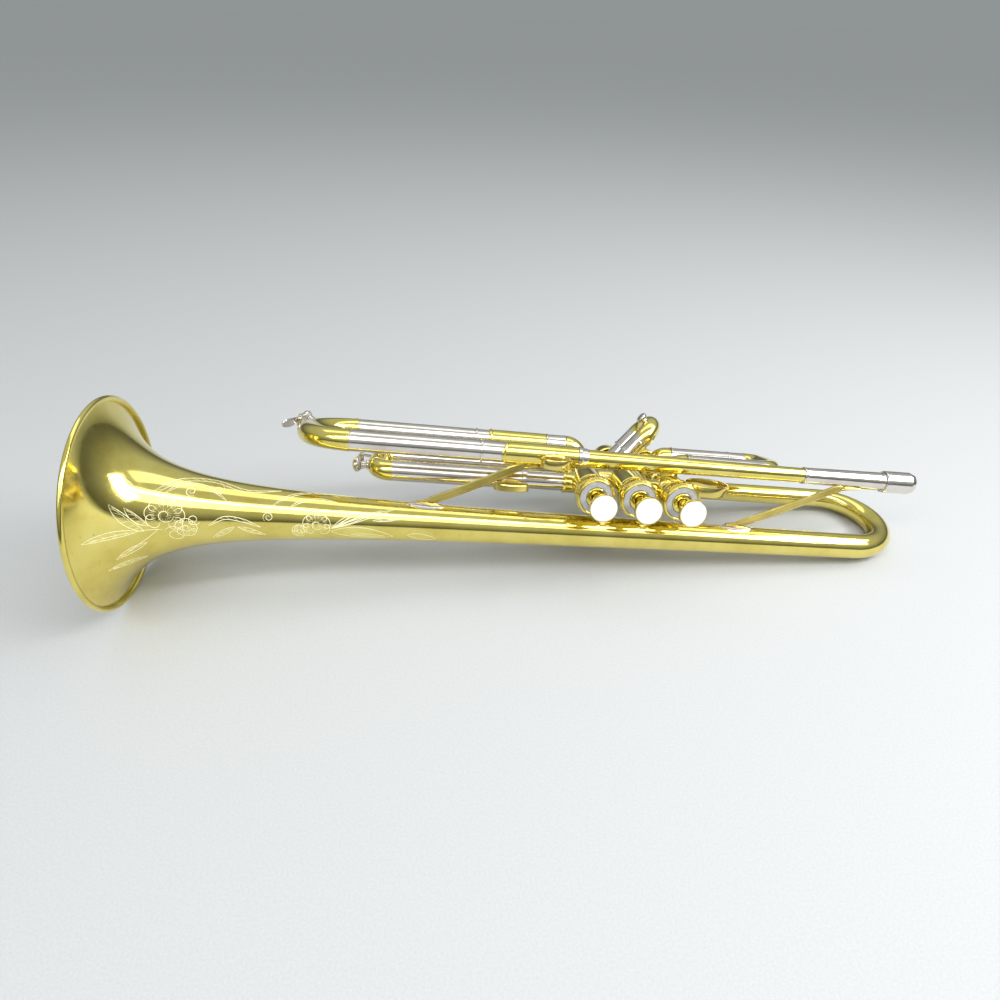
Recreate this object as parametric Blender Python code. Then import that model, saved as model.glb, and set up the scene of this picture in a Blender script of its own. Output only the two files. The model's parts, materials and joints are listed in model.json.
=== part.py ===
"""B-flat trumpet lying on its bell side, modelled as separate soldered and sliding pieces.

Everything is drawn in the trumpet's own axes and parented to one empty that lays it down:
    x runs from the bell mouth back towards the player,
    y runs from the bell tube across the valves to the leadpipe,
    z runs from the bottom valve caps up to the finger buttons.
The origin of those axes is the centre of the bell mouth. Lengths are in metres.
"""
import math

import bmesh
import bpy
from mathutils import Matrix, Vector

MM = 0.001
GAP = 0.3 * MM                    # play between pieces that touch on the real instrument

# Bell and rear bow
BELL_RADIUS = 60.5 * MM
RIM_WIRE_RADIUS = 1.5 * MM
TAIL_RADIUS = 7.5 * MM            # radius that the flare tends to
TUBE_TAPER = 2.9 * MM             # what the tube loses evenly from mouth to bow
FLARE_LENGTH = 31.0 * MM
FLARE_POWER = 1.64
BELL_SHEET = 0.5 * MM
SHEET_START = 1.5 * MM            # where the sheet leaves the rolled rim
BOW_X = 454.9 * MM                # end of the straight bell tube
BOW_END_RADIUS = 6.36 * MM        # outer radius of the lower leg
BELL_RUN_IN = 352.0 * MM          # where the lower leg turns in to valve 1
LOWER_LEG = (14.5 * MM, -58.3 * MM)

# Valve cluster
VALVE_X = 274.3 * MM              # valve 3, the one nearest the bell
VALVE_SPACING = 26.5 * MM
VALVE_Y = 26.2 * MM
CASING_RADIUS = 9.75 * MM
CASING_BORE = 8.75 * MM
CASING_TOP = 6.0 * MM
CASING_BOTTOM = -74.0 * MM
CAP_RADIUS = 11.75 * MM
CAP_TOP = 13.8 * MM
CAP_SKIRT = 3.2 * MM
BOTTOM_CAP_RADIUS = 11.3 * MM
BOTTOM_CAP_END = -81.5 * MM
BOTTOM_FLAT = 5.2 * MM            # radius of the flat boss under the bottom cap
BOTTOM_FLOOR = -79.3 * MM
STEM_RADIUS = 2.6 * MM
STEM_HOLE = 3.1 * MM
PISTON_RADIUS = 8.4 * MM
PISTON_TOP = 4.4 * MM
PISTON_BOTTOM = -64.2 * MM
SPRING_ROOF = -60.2 * MM          # top of the recess that takes the spring
BUTTON_TOP = 33.4 * MM
BUTTON_RADIUS = 8.1 * MM
BUTTON_HEIGHT = 4.2 * MM
PEARL_RADIUS = 7.3 * MM
PORT_RADIUS = 5.4 * MM
SPRING_WIRE = 0.35 * MM           # radius of the wire
SPRING_COIL = 5.8 * MM
SPRING_TURNS = 4
KNUCKLE_RADIUS = 5.9 * MM
KNUCKLE_Z = (-30.0 * MM, -14.0 * MM)       # knuckle 3 to 2, knuckle 2 to 1

# Leadpipe line, which converges slightly on the bell line
LEAD_Y = 43.74 * MM               # at the receiver's mouth
LEAD_Z = -4.1 * MM
LEAD_TOE = -0.0057                # change of y for each unit of x
RECEIVER_END = 484.3 * MM
COLLAR_START = 464.2 * MM
RECEIVER_START = 408.8 * MM
LEADPIPE_START = 269.6 * MM
FERRULE_START = 263.2 * MM
BRASS_TUBE_START = 217.0 * MM
SLEEVE_START = 130.2 * MM
MIDDLE_FERRULE = 205.0 * MM
LOWER_OFFSET = (-5.5 * MM, -54.0 * MM)     # lower tuning leg from the leadpipe line
LOWER_BRASS_START = 213.8 * MM
LOWER_FERRULE_START = 252.1 * MM
LOWER_FERRULE_END = 265.6 * MM
SLEEVE_RADIUS = 6.2 * MM
BRASS_TUBE_RADIUS = 6.45 * MM
SLIDE_BORE = 5.9 * MM
INNER_LEG_RADIUS = 5.55 * MM
INNER_LEG_BORE = 5.1 * MM
CROOK_BORE = 5.4 * MM

# Valve slides
THIRD_Y = 25.3 * MM
THIRD_Z = (-18.0 * MM, -50.0 * MM)
THIRD_JOINT = 153.5 * MM
THIRD_SLEEVE_END = 236.0 * MM
FIRST_LEGS = ((42.0 * MM, -20.0 * MM), (38.5 * MM, -52.0 * MM))
FIRST_SLEEVE_START = 337.5 * MM
FIRST_JOINT = 390.0 * MM
FIRST_BEND = 8.0 * MM
CROOK_BEND = 9.0 * MM             # corner radius of the square crooks of slides 1 and 3
SECOND_ANGLE = math.radians(38.2)          # from straight out, towards the player
SECOND_ROOT = (-5.5 * MM, -42.0 * MM)      # sideways and up from valve 2's axis
SECOND_SEPARATION = (2.0 * MM, -20.0 * MM)  # sideways and down from one leg to the other
SECOND_SLEEVE = 13.5 * MM
SECOND_JOINT = 27.5 * MM
KNOB_RISE = 2.5 * MM              # of the pull knob above the middle of its crook

# Finger rings: half length, half height, half width of the band, and where each sits
RING_WALL = 1.2 * MM
PINKY_RING = (8.9 * MM, 6.0 * MM, 2.8 * MM)
PINKY_X = 248.5 * MM
PINKY_LOWER = 1.0 * MM            # from the leadpipe line towards the bell
THUMB_RING = (14.5 * MM, 11.0 * MM, 3.3 * MM)
THUMB_CENTRE = (352.0 * MM, 28.6 * MM, -15.0 * MM)
THIRD_RING = (10.8 * MM, 4.6 * MM, 2.1 * MM)
THIRD_RING_X = 225.8 * MM
THIRD_RING_LOWER = 1.8 * MM

# Braces
BRACE_FOOT = 15.0 * MM
BRACE_WIDTH = 5.6 * MM
BRACE_THICKNESS = 1.8 * MM
BRACE_Z = -0.6 * MM

# Water keys
MAIN_KEY_TURN = 35.3              # degrees from the crook's front towards its lower leg
MAIN_KEY_TILT = 27.7              # degrees that the nipple leans out of the crook's plane
THIRD_KEY_HEIGHT = -9.5 * MM      # from the slide's upper leg

# Resting attitude on a table
REST_ROLL = math.radians(15.87)
REST_PITCH = math.radians(6.2)

ROUND = 14                        # sides of a small tube
AXIS_X = Vector((1, 0, 0))
AXIS_Y = Vector((0, 1, 0))
AXIS_Z = Vector((0, 0, 1))

BRASS = ("lacquered_brass", (0.80, 0.60, 0.14), 0.22, 1.0)
NICKEL = ("nickel_silver", (0.74, 0.72, 0.68), 0.20, 1.0)
PEARL = ("mother_of_pearl", (0.90, 0.89, 0.86), 0.25, 0.0)
FELT = ("grey_felt", (0.42, 0.42, 0.44), 0.95, 0.0)
STEEL = ("spring_steel", (0.55, 0.56, 0.58), 0.35, 1.0)


def clear_scene():
    for old in list(bpy.data.objects):
        bpy.data.objects.remove(old, do_unlink=True)


def material_for(node, finish):
    """A Principled material of the piece's own."""
    name, colour, roughness, metallic = finish
    material = bpy.data.materials.new(node + "_" + name)
    material.use_nodes = True
    shader = material.node_tree.nodes["Principled BSDF"]
    shader.inputs["Base Color"].default_value = (*colour, 1.0)
    shader.inputs["Roughness"].default_value = roughness
    shader.inputs["Metallic"].default_value = metallic
    return material


def add_empty(name, parent, location=(0, 0, 0)):
    empty = bpy.data.objects.new(name, None)
    bpy.context.scene.collection.objects.link(empty)
    empty.parent = parent
    empty.location = location
    return empty


def add_piece(name, bm, finish, parent, origin=(0, 0, 0), sharp_angle=35.0):
    """Turn a bmesh drawn in the trumpet's axes into a named object with its own origin."""
    bmesh.ops.translate(bm, verts=bm.verts, vec=-Vector(origin))
    bmesh.ops.recalc_face_normals(bm, faces=bm.faces)
    mesh = bpy.data.meshes.new(name)
    bm.to_mesh(mesh)
    bm.free()
    mesh.shade_smooth()
    mesh.set_sharp_from_angle(angle=math.radians(sharp_angle))
    mesh.materials.append(material_for(name, finish))
    piece = bpy.data.objects.new(name, mesh)
    bpy.context.scene.collection.objects.link(piece)
    piece.parent = parent
    piece.location = Vector(origin)
    return piece


def frame_towards(direction, hint=AXIS_Z):
    """Rotation whose third column is the direction and whose first column follows the hint."""
    forward = Vector(direction).normalized()
    side = (Vector(hint) - forward * forward.dot(Vector(hint))).normalized()
    other = forward.cross(side)
    return Matrix((side, other, forward)).transposed()


def ring(bm, centre, rotation, radius, sides):
    """Vertices of a circle."""
    points = []
    for index in range(sides):
        angle = 2.0 * math.pi * index / sides
        local = Vector((radius * math.cos(angle), radius * math.sin(angle), 0.0))
        points.append(bm.verts.new(Vector(centre) + rotation @ local))
    return points


def bridge(bm, first, second):
    """Quads between two rings of the same size."""
    count = len(first)
    for index in range(count):
        following = (index + 1) % count
        bm.faces.new((first[index], first[following], second[following], second[index]))


def hollow_sweep(stations, hint=AXIS_Z, sides=ROUND):
    """A tube with a bore. Each station is (centre, direction, outer radius, bore radius)."""
    bm = bmesh.new()
    outer = []
    inner = []
    for centre, direction, radius, bore in stations:
        rotation = frame_towards(direction, hint)
        outer.append(ring(bm, centre, rotation, radius, sides))
        inner.append(ring(bm, centre, rotation, bore, sides))
    for index in range(len(stations) - 1):
        bridge(bm, outer[index], outer[index + 1])
        bridge(bm, inner[index + 1], inner[index])
    bridge(bm, inner[0], outer[0])
    bridge(bm, outer[-1], inner[-1])
    return bm


def turned(profile, centre, direction, sides=18, hint=AXIS_X):
    """A turned solid from a closed outline of (radius, height) points.

    An outline that starts and ends on the axis has radius 0 there and is closed by fans.
    """
    bm = bmesh.new()
    rotation = frame_towards(direction, hint)
    loops = []
    for radius, height in profile:
        middle = Vector(centre) + rotation @ Vector((0.0, 0.0, height))
        if radius == 0.0:
            loops.append([bm.verts.new(middle)])
        else:
            loops.append(ring(bm, middle, rotation, radius, sides))
    pairs = list(zip(loops, loops[1:]))
    if len(loops[0]) > 1:
        pairs.append((loops[-1], loops[0]))
    for first, second in pairs:
        if len(first) == 1:
            for index in range(sides):
                bm.faces.new((first[0], second[(index + 1) % sides], second[index]))
        elif len(second) == 1:
            for index in range(sides):
                bm.faces.new((second[0], first[index], first[(index + 1) % sides]))
        else:
            bridge(bm, first, second)
    return bm


def prism(outline, rotation, centre, half_depth):
    """A flat bar: a closed outline of (a, b) points, thickened both ways along its normal."""
    bm = bmesh.new()
    layers = []
    for side in (-half_depth, half_depth):
        points = [Vector(centre) + rotation @ Vector((a, b, side)) for a, b in outline]
        layers.append([bm.verts.new(point) for point in points])
    bm.faces.new(list(reversed(layers[0])))
    bm.faces.new(layers[1])
    bridge(bm, layers[0], layers[1])
    return bm


def cut_with(piece, bm, name):
    """Boolean difference with a hidden cutter given as a closed bmesh in trumpet axes."""
    bmesh.ops.translate(bm, verts=bm.verts, vec=-Vector(piece.location))
    bmesh.ops.recalc_face_normals(bm, faces=bm.faces)
    mesh = bpy.data.meshes.new(name)
    bm.to_mesh(mesh)
    bm.free()
    cutter = bpy.data.objects.new(name, mesh)
    bpy.context.scene.collection.objects.link(cutter)
    cutter.parent = piece
    cutter.hide_render = True
    cutter.display_type = 'WIRE'
    cut = piece.modifiers.new(name, 'BOOLEAN')
    cut.operation = 'DIFFERENCE'
    cut.object = cutter


def rod_solid(start, end, radius, sides=ROUND, hint=AXIS_Z):
    """A plain solid cylinder between two points."""
    start = Vector(start)
    length = (Vector(end) - start).length
    outline = [(0.0, 0.0), (radius, 0.0), (radius, length), (0.0, length)]
    return turned(outline, start, Vector(end) - start, sides, hint)


def valve_centre(index):
    """Axis of valve 1, 2 or 3; valve 1 is nearest the player."""
    return Vector((VALVE_X + (3 - index) * VALVE_SPACING, VALVE_Y, 0.0))


def valve_cylinder(index, radius, bottom=CASING_BOTTOM, top=CASING_TOP, sides=18):
    centre = valve_centre(index)
    return rod_solid(centre + AXIS_Z * bottom, centre + AXIS_Z * top, radius, sides, AXIS_X)


def lead_point(x, offset=(0.0, 0.0)):
    """Point on the leadpipe line, or on a line parallel to it."""
    y = LEAD_Y + LEAD_TOE * (x - RECEIVER_END)
    return Vector((x, y + offset[0], LEAD_Z + offset[1]))


def lead_direction():
    return Vector((1.0, LEAD_TOE, 0.0)).normalized()


def bell_radius(x):
    """Outer radius of the bell at a distance from the mouth."""
    fall = (FLARE_LENGTH / (x + FLARE_LENGTH)) ** FLARE_POWER
    taper = TUBE_TAPER * (1.0 - x / BOW_X)
    return TAIL_RADIUS + (BELL_RADIUS - TAIL_RADIUS - TUBE_TAPER) * fall + taper


def bell_slope(x):
    step = 0.1 * MM
    return (bell_radius(x + step) - bell_radius(x)) / step


def bow_arc(steps):
    """Stations of the rear bow: (centre, direction, share of the way round)."""
    lower = Vector((BOW_X, *LOWER_LEG))
    upper = Vector((BOW_X, 0.0, 0.0))
    middle = (upper + lower) / 2.0
    arm = upper - middle
    stations = []
    for step in range(1, steps):
        share = step / steps
        angle = math.pi * share
        centre = middle + arm * math.cos(angle) + AXIS_X * arm.length * math.sin(angle)
        heading = AXIS_X * math.cos(angle) - arm.normalized() * math.sin(angle)
        stations.append((centre, heading, share))
    return stations


def bell_run_in():
    """Heading of the bell's small end where it meets valve 1."""
    return Vector((-0.86, 0.5, 0.0)).normalized()


def make_bell(parent):
    """Flare, tube, rear bow and lower leg, one sheet as on a one-piece bell."""
    stations = []
    flare_steps = 12
    for step in range(flare_steps + 1):
        x = SHEET_START + (BOW_X - SHEET_START) * (step / flare_steps) ** 2.4
        radius = bell_radius(x)
        bore = radius - BELL_SHEET * math.hypot(1.0, bell_slope(x))
        stations.append((Vector((x, 0.0, 0.0)), AXIS_X, radius, bore))
    tube_end = bell_radius(BOW_X)
    for centre, heading, share in bow_arc(8):
        radius = tube_end + (BOW_END_RADIUS - tube_end) * share
        stations.append((centre, heading, radius, radius - BELL_SHEET))
    leg_start = Vector((BOW_X, *LOWER_LEG))
    leg_end = Vector((BELL_RUN_IN, *LOWER_LEG))
    inward = bell_run_in()
    bend = leg_end + Vector((-9.0 * MM, 2.4 * MM, 0.0))
    entry = bend + inward * 14.0 * MM
    bore = BOW_END_RADIUS - BELL_SHEET
    stations.append((leg_start, -AXIS_X, BOW_END_RADIUS, bore))
    stations.append((leg_end, -AXIS_X, BOW_END_RADIUS, bore))
    stations.append((bend, inward, BOW_END_RADIUS, bore))
    stations.append((entry, inward, BOW_END_RADIUS, bore))
    bell = add_piece("bell", hollow_sweep(stations, AXIS_Y, 20), BRASS, parent)
    cut_with(bell, valve_cylinder(1, CASING_RADIUS + GAP), "bell_saddle_cut")


def make_rim_wire(parent):
    """Rolled bead round the bell mouth."""
    outline = []
    ring_radius = BELL_RADIUS - RIM_WIRE_RADIUS
    for step in range(6):
        angle = 2.0 * math.pi * step / 6
        radius = ring_radius + RIM_WIRE_RADIUS * math.cos(angle)
        outline.append((radius, RIM_WIRE_RADIUS * (1.0 + math.sin(angle))))
    add_piece("bell_rim_bead", turned(outline, (0, 0, 0), AXIS_X, 36, AXIS_Y), BRASS, parent)


def straight_tube(start, end, radius, bore, end_radius=None):
    """Stations of a straight tube, which may taper."""
    direction = Vector(end) - Vector(start)
    last = radius if end_radius is None else end_radius
    return [(Vector(start), direction, radius, bore), (Vector(end), direction, last, bore)]


def ringed_tube(start, end, radius, bore, bands):
    """Stations of a straight tube with raised bands given as (from, to, radius) along it."""
    start = Vector(start)
    direction = (Vector(end) - start).normalized()
    length = (Vector(end) - start).length
    stations = [(start, direction, bands[0][2] if bands[0][0] == 0.0 else radius, bore)]
    for begin, finish, band in bands:
        if begin > 0.0:
            stations.append((start + direction * begin, direction, radius, bore))
            stations.append((start + direction * begin, direction, band, bore))
        if finish < length:
            stations.append((start + direction * finish, direction, band, bore))
            stations.append((start + direction * finish, direction, radius, bore))
        else:
            stations.append((start + direction * length, direction, band, bore))
    if bands[-1][1] < length:
        stations.append((start + direction * length, direction, radius, bore))
    return split_bore(stations)


def split_bore(stations):
    """Widen repeated bore rings by a hair so that no two rings of the bore coincide."""
    hair = 0.002 * MM
    spread = []
    for index, (centre, direction, radius, bore) in enumerate(stations):
        spread.append((centre, direction, radius, bore + hair * (index % 2)))
    return spread


def make_leadpipe(parent):
    stations = straight_tube(lead_point(LEADPIPE_START + GAP), lead_point(RECEIVER_START - GAP),
                             5.4 * MM, 4.3 * MM, 4.7 * MM)
    add_piece("leadpipe", hollow_sweep(stations), BRASS, parent)
    start = lead_point(FERRULE_START + GAP)
    end = lead_point(LEADPIPE_START)
    ferrule = ringed_tube(start, end, 5.5 * MM, 4.4 * MM, [(0.0, 1.2 * MM, 6.1 * MM)])
    add_piece("leadpipe_ferrule", hollow_sweep(ferrule), NICKEL, parent)


def make_receiver(parent):
    """Mouthpiece receiver: a tapering tube, a groove and a collar with a flat mouth."""
    groove = COLLAR_START - 3.6 * MM
    rows = [(RECEIVER_START, 5.15, 4.6), (groove, 5.75, 4.6), (groove + 0.1 * MM, 5.45, 4.65),
            (COLLAR_START - 0.1 * MM, 5.45, 4.6), (COLLAR_START, 6.75, 4.65),
            (RECEIVER_END - 6.0 * MM, 7.0, 4.7), (RECEIVER_END - 1.6 * MM, 7.0, 4.8),
            (RECEIVER_END - 0.4 * MM, 6.6, 4.85), (RECEIVER_END, 6.2, 4.9)]
    direction = lead_direction()
    stations = [(lead_point(x), direction, radius * MM, bore * MM) for x, radius, bore in rows]
    add_piece("mouthpiece_receiver", hollow_sweep(stations), NICKEL, parent)


def make_outer_tubes(parent):
    """Fixed tubes that the tuning slide runs in: nickel sleeves, then brass, then the bend."""
    sleeve_band = [(MIDDLE_FERRULE - SLEEVE_START, MIDDLE_FERRULE - SLEEVE_START + 0.9 * MM,
                    SLEEVE_RADIUS + 0.35 * MM)]
    for name, offset, brass_start, brass_end in (
            ("upper", (0.0, 0.0), BRASS_TUBE_START, FERRULE_START),
            ("lower", LOWER_OFFSET, LOWER_BRASS_START, LOWER_FERRULE_START)):
        sleeve_end = lead_point(brass_start, offset)
        sleeve = ringed_tube(lead_point(SLEEVE_START + GAP, offset), sleeve_end,
                             SLEEVE_RADIUS, SLIDE_BORE, sleeve_band)
        add_piece(name + "_outer_sleeve", hollow_sweep(sleeve), NICKEL, parent)
        tube = straight_tube(lead_point(brass_start + GAP, offset), lead_point(brass_end, offset),
                             BRASS_TUBE_RADIUS, SLIDE_BORE)
        add_piece(name + "_outer_tube", hollow_sweep(tube), BRASS, parent)
    ferrule = straight_tube(lead_point(LOWER_FERRULE_START + GAP, LOWER_OFFSET),
                            lead_point(LOWER_FERRULE_END, LOWER_OFFSET), 6.3 * MM, SLIDE_BORE)
    add_piece("lower_ferrule", hollow_sweep(ferrule), NICKEL, parent)


def quarter_bend(start, heading, turn_to, radius, steps):
    """Centres and directions round a quarter turn from one heading to another."""
    start = Vector(start)
    heading = Vector(heading).normalized()
    turn_to = Vector(turn_to).normalized()
    hub = start + turn_to * radius
    stations = []
    for step in range(steps + 1):
        angle = 0.5 * math.pi * step / steps
        centre = hub - turn_to * radius * math.cos(angle) + heading * radius * math.sin(angle)
        stations.append((centre, heading * math.cos(angle) + turn_to * math.sin(angle)))
    return stations


def half_bend(start, heading, across, steps):
    """Centres and directions round a half turn; across is the step from leg to leg."""
    start = Vector(start)
    heading = Vector(heading).normalized()
    across = Vector(across)
    side = across.normalized()
    radius = across.length / 2.0
    stations = []
    for step in range(steps + 1):
        angle = math.pi * step / steps
        centre = start + across / 2.0 - side * radius * math.cos(angle)
        centre = centre + heading * radius * math.sin(angle)
        stations.append((centre, heading * math.cos(angle) + side * math.sin(angle)))
    return stations


def square_crook(heading, across):
    """Two quarter bends with a straight between them, from the origin to across."""
    side = across.normalized()
    corner = heading * CROOK_BEND + side * (across.length - CROOK_BEND)
    first = quarter_bend(Vector((0, 0, 0)), heading, side, CROOK_BEND, 3)
    return first + quarter_bend(corner, side, -heading, CROOK_BEND, 3)


def with_radii(path, radius, bore):
    return [(centre, direction, radius, bore) for centre, direction in path]


def make_valve_entry(parent):
    """Bend that takes the lower tuning leg into valve 3."""
    start = lead_point(LOWER_FERRULE_END + GAP, LOWER_OFFSET)
    path = quarter_bend(start, AXIS_X, -AXIS_Y, 10.6 * MM, 4)
    bm = hollow_sweep(with_radii(path, BRASS_TUBE_RADIUS, SLIDE_BORE))
    bend = add_piece("valve_entry_bend", bm, BRASS, parent)
    cut_with(bend, valve_cylinder(3, CASING_RADIUS + GAP), "valve_entry_cut")


def make_casing(index, parent):
    """Open tube with a port for each tube that joins it."""
    centre = valve_centre(index)
    outline = [(CASING_BORE, CASING_BOTTOM), (CASING_RADIUS, CASING_BOTTOM),
               (CASING_RADIUS, CASING_TOP), (CASING_BORE, CASING_TOP)]
    casing = add_piece("casing_%d" % index, turned(outline, centre, AXIS_Z), BRASS, parent, centre)
    for number, (start, end) in enumerate(casing_ports(index)):
        port = rod_solid(start, end, 5.0 * MM, 8)
        cut_with(casing, port, "casing_%d_port_%d" % (index, number + 1))


def casing_ports(index):
    """Start and end of the cutting rod of each port of a casing."""
    centre = valve_centre(index)
    reach = 2.0 * CASING_RADIUS
    if index == 3:
        front = [(centre + AXIS_Z * z, centre + AXIS_Z * z - AXIS_X * reach) for z in THIRD_Z]
        entry = centre + AXIS_Z * (LEAD_Z + LOWER_OFFSET[1])
        return front + [(entry, entry + AXIS_Y * reach)]
    if index == 2:
        out = second_direction() * reach
        return [(start, start + out) for start in second_roots()]
    side = [(centre + AXIS_Z * z, centre + AXIS_Z * z + AXIS_Y * reach) for _, z in FIRST_LEGS]
    exit_port = centre + AXIS_Z * LOWER_LEG[1]
    return side + [(exit_port, exit_port - bell_run_in() * reach)]


def make_caps(index, parent):
    """Knurled top cap with a felt seat and a stem hole, and the bottom cap with its nub."""
    centre = valve_centre(index)
    top = [(CASING_RADIUS + GAP, CAP_SKIRT), (CAP_RADIUS, CAP_SKIRT + 0.4 * MM),
           (CAP_RADIUS, CAP_TOP - 1.4 * MM), (CAP_RADIUS - 1.2 * MM, CAP_TOP),
           (9.1 * MM, CAP_TOP), (9.1 * MM, CAP_TOP - 1.6 * MM), (6.2 * MM, CAP_TOP - 1.6 * MM),
           (6.0 * MM, CAP_TOP + 0.5 * MM), (STEM_HOLE, CAP_TOP + 0.5 * MM),
           (STEM_HOLE, CASING_TOP + 1.6 * MM), (8.6 * MM, CASING_TOP + 1.6 * MM),
           (8.6 * MM, CASING_TOP + GAP), (CASING_RADIUS + GAP, CASING_TOP + GAP)]
    add_piece("top_cap_%d" % index, turned(top, centre, AXIS_Z), BRASS, parent, centre)
    skirt = CASING_BOTTOM + 4.5 * MM
    bottom = [(0.0, BOTTOM_CAP_END), (BOTTOM_FLAT, BOTTOM_CAP_END),
              (BOTTOM_FLAT + 0.8 * MM, BOTTOM_CAP_END + 0.8 * MM),
              (9.6 * MM, BOTTOM_CAP_END + 1.0 * MM), (BOTTOM_CAP_RADIUS, BOTTOM_CAP_END + 2.6 * MM),
              (BOTTOM_CAP_RADIUS, skirt), (CASING_RADIUS + GAP, skirt),
              (CASING_RADIUS + GAP, CASING_BOTTOM - GAP), (CASING_BORE, CASING_BOTTOM - GAP),
              (CASING_BORE, BOTTOM_FLOOR), (0.0, BOTTOM_FLOOR)]
    add_piece("bottom_cap_%d" % index, turned(bottom, centre, AXIS_Z), BRASS, parent, centre)
    felt = [(6.5 * MM, CAP_TOP - 1.3 * MM), (8.8 * MM, CAP_TOP - 1.3 * MM),
            (8.8 * MM, CAP_TOP - 0.3 * MM), (6.5 * MM, CAP_TOP - 0.3 * MM)]
    add_piece("cap_felt_%d" % index, turned(felt, centre, AXIS_Z), FELT, parent, centre)


def make_piston(index, parent):
    """Piston with its cross passages and stem; the empty above it is the press joint."""
    centre = valve_centre(index)
    joint = add_empty("valve_%d_press" % index, parent, centre)
    button_floor = BUTTON_TOP - BUTTON_HEIGHT
    outline = [(0.0, SPRING_ROOF), (6.8 * MM, SPRING_ROOF), (6.8 * MM, PISTON_BOTTOM),
               (PISTON_RADIUS, PISTON_BOTTOM), (PISTON_RADIUS, PISTON_TOP),
               (5.0 * MM, PISTON_TOP + 1.6 * MM), (STEM_RADIUS, PISTON_TOP + 1.8 * MM),
               (STEM_RADIUS, button_floor), (0.0, button_floor)]
    piston = add_piece("piston_%d" % index, turned(outline, (0, 0, 0), AXIS_Z), STEEL, joint)
    passages = ((-18.0 * MM, 20.0), (-36.0 * MM, 75.0), (-52.0 * MM, -35.0))
    for number, (height, turn) in enumerate(passages):
        across = Vector((math.cos(math.radians(turn)), math.sin(math.radians(turn)), 0.0))
        middle = AXIS_Z * height
        reach = across * 2.0 * PISTON_RADIUS
        passage = rod_solid(middle - reach, middle + reach, PORT_RADIUS, 8)
        cut_with(piston, passage, "piston_%d_passage_%d" % (index, number + 1))
    button = [(0.0, button_floor + GAP), (4.6 * MM, button_floor + GAP),
              (BUTTON_RADIUS, button_floor + 2.3 * MM), (BUTTON_RADIUS, BUTTON_TOP),
              (PEARL_RADIUS + GAP, BUTTON_TOP), (PEARL_RADIUS + GAP, BUTTON_TOP - 1.6 * MM),
              (0.0, BUTTON_TOP - 1.6 * MM)]
    add_piece("button_%d" % index, turned(button, (0, 0, 0), AXIS_Z), BRASS, joint)
    pearl = [(0.0, BUTTON_TOP - 1.3 * MM), (PEARL_RADIUS, BUTTON_TOP - 1.3 * MM),
             (PEARL_RADIUS, BUTTON_TOP - 0.1 * MM), (0.0, BUTTON_TOP + 0.1 * MM)]
    add_piece("pearl_%d" % index, turned(pearl, (0, 0, 0), AXIS_Z), PEARL, joint)


def make_spring(index, parent):
    """Coil spring that stands on the bottom cap and holds the piston up."""
    centre = valve_centre(index)
    bottom = BOTTOM_FLOOR + SPRING_WIRE + GAP
    top = SPRING_ROOF - SPRING_WIRE - GAP
    steps = SPRING_TURNS * 9
    bm = bmesh.new()
    previous = None
    for step in range(steps + 1):
        share = step / steps
        angle = 2.0 * math.pi * SPRING_TURNS * share
        spoke = Vector((math.cos(angle), math.sin(angle), 0.0))
        heading = Vector((-math.sin(angle), math.cos(angle), 0.12)).normalized()
        middle = centre + spoke * SPRING_COIL + AXIS_Z * (bottom + (top - bottom) * share)
        current = ring(bm, middle, frame_towards(heading), SPRING_WIRE, 4)
        if previous:
            bridge(bm, previous, current)
        else:
            bm.faces.new(list(reversed(current)))
        previous = current
    bm.faces.new(previous)
    add_piece("valve_spring_%d" % index, bm, STEEL, parent, centre)


def make_knuckle(first, second, height, parent):
    """Short tube between two neighbouring casings."""
    start = valve_centre(first) + AXIS_Z * height
    end = valve_centre(second) + AXIS_Z * height
    name = "knuckle_%d_%d" % (second, first)
    stations = straight_tube(start, end, KNUCKLE_RADIUS, KNUCKLE_RADIUS - 0.6 * MM)
    knuckle = add_piece(name, hollow_sweep(stations), BRASS, parent)
    for index in (first, second):
        cut_with(knuckle, valve_cylinder(index, CASING_RADIUS + GAP), "%s_cut_%d" % (name, index))


def make_tuning_slide(parent):
    """Front crook with its two inner legs."""
    joint = add_empty("tuning_slide", parent, lead_point(SLEEVE_START))
    joint.rotation_euler = (0.0, 0.0, math.atan(LEAD_TOE))
    across = Vector((0.0, *LOWER_OFFSET))
    start = Vector((0.0, 0.0, 0.0))
    path = half_bend(start, -AXIS_X, across, 9)
    bm = hollow_sweep(with_radii(path, SLEEVE_RADIUS + 0.1 * MM, CROOK_BORE), AXIS_Y)
    add_piece("tuning_crook", bm, BRASS, joint)
    length = LOWER_FERRULE_START - SLEEVE_START - 6.0 * MM
    for name, offset in (("upper", Vector()), ("lower", across)):
        begin = offset + AXIS_X * GAP
        stations = straight_tube(begin, begin + AXIS_X * length, INNER_LEG_RADIUS, INNER_LEG_BORE)
        add_piece("tuning_leg_" + name, hollow_sweep(stations), NICKEL, joint)
    return joint


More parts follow.
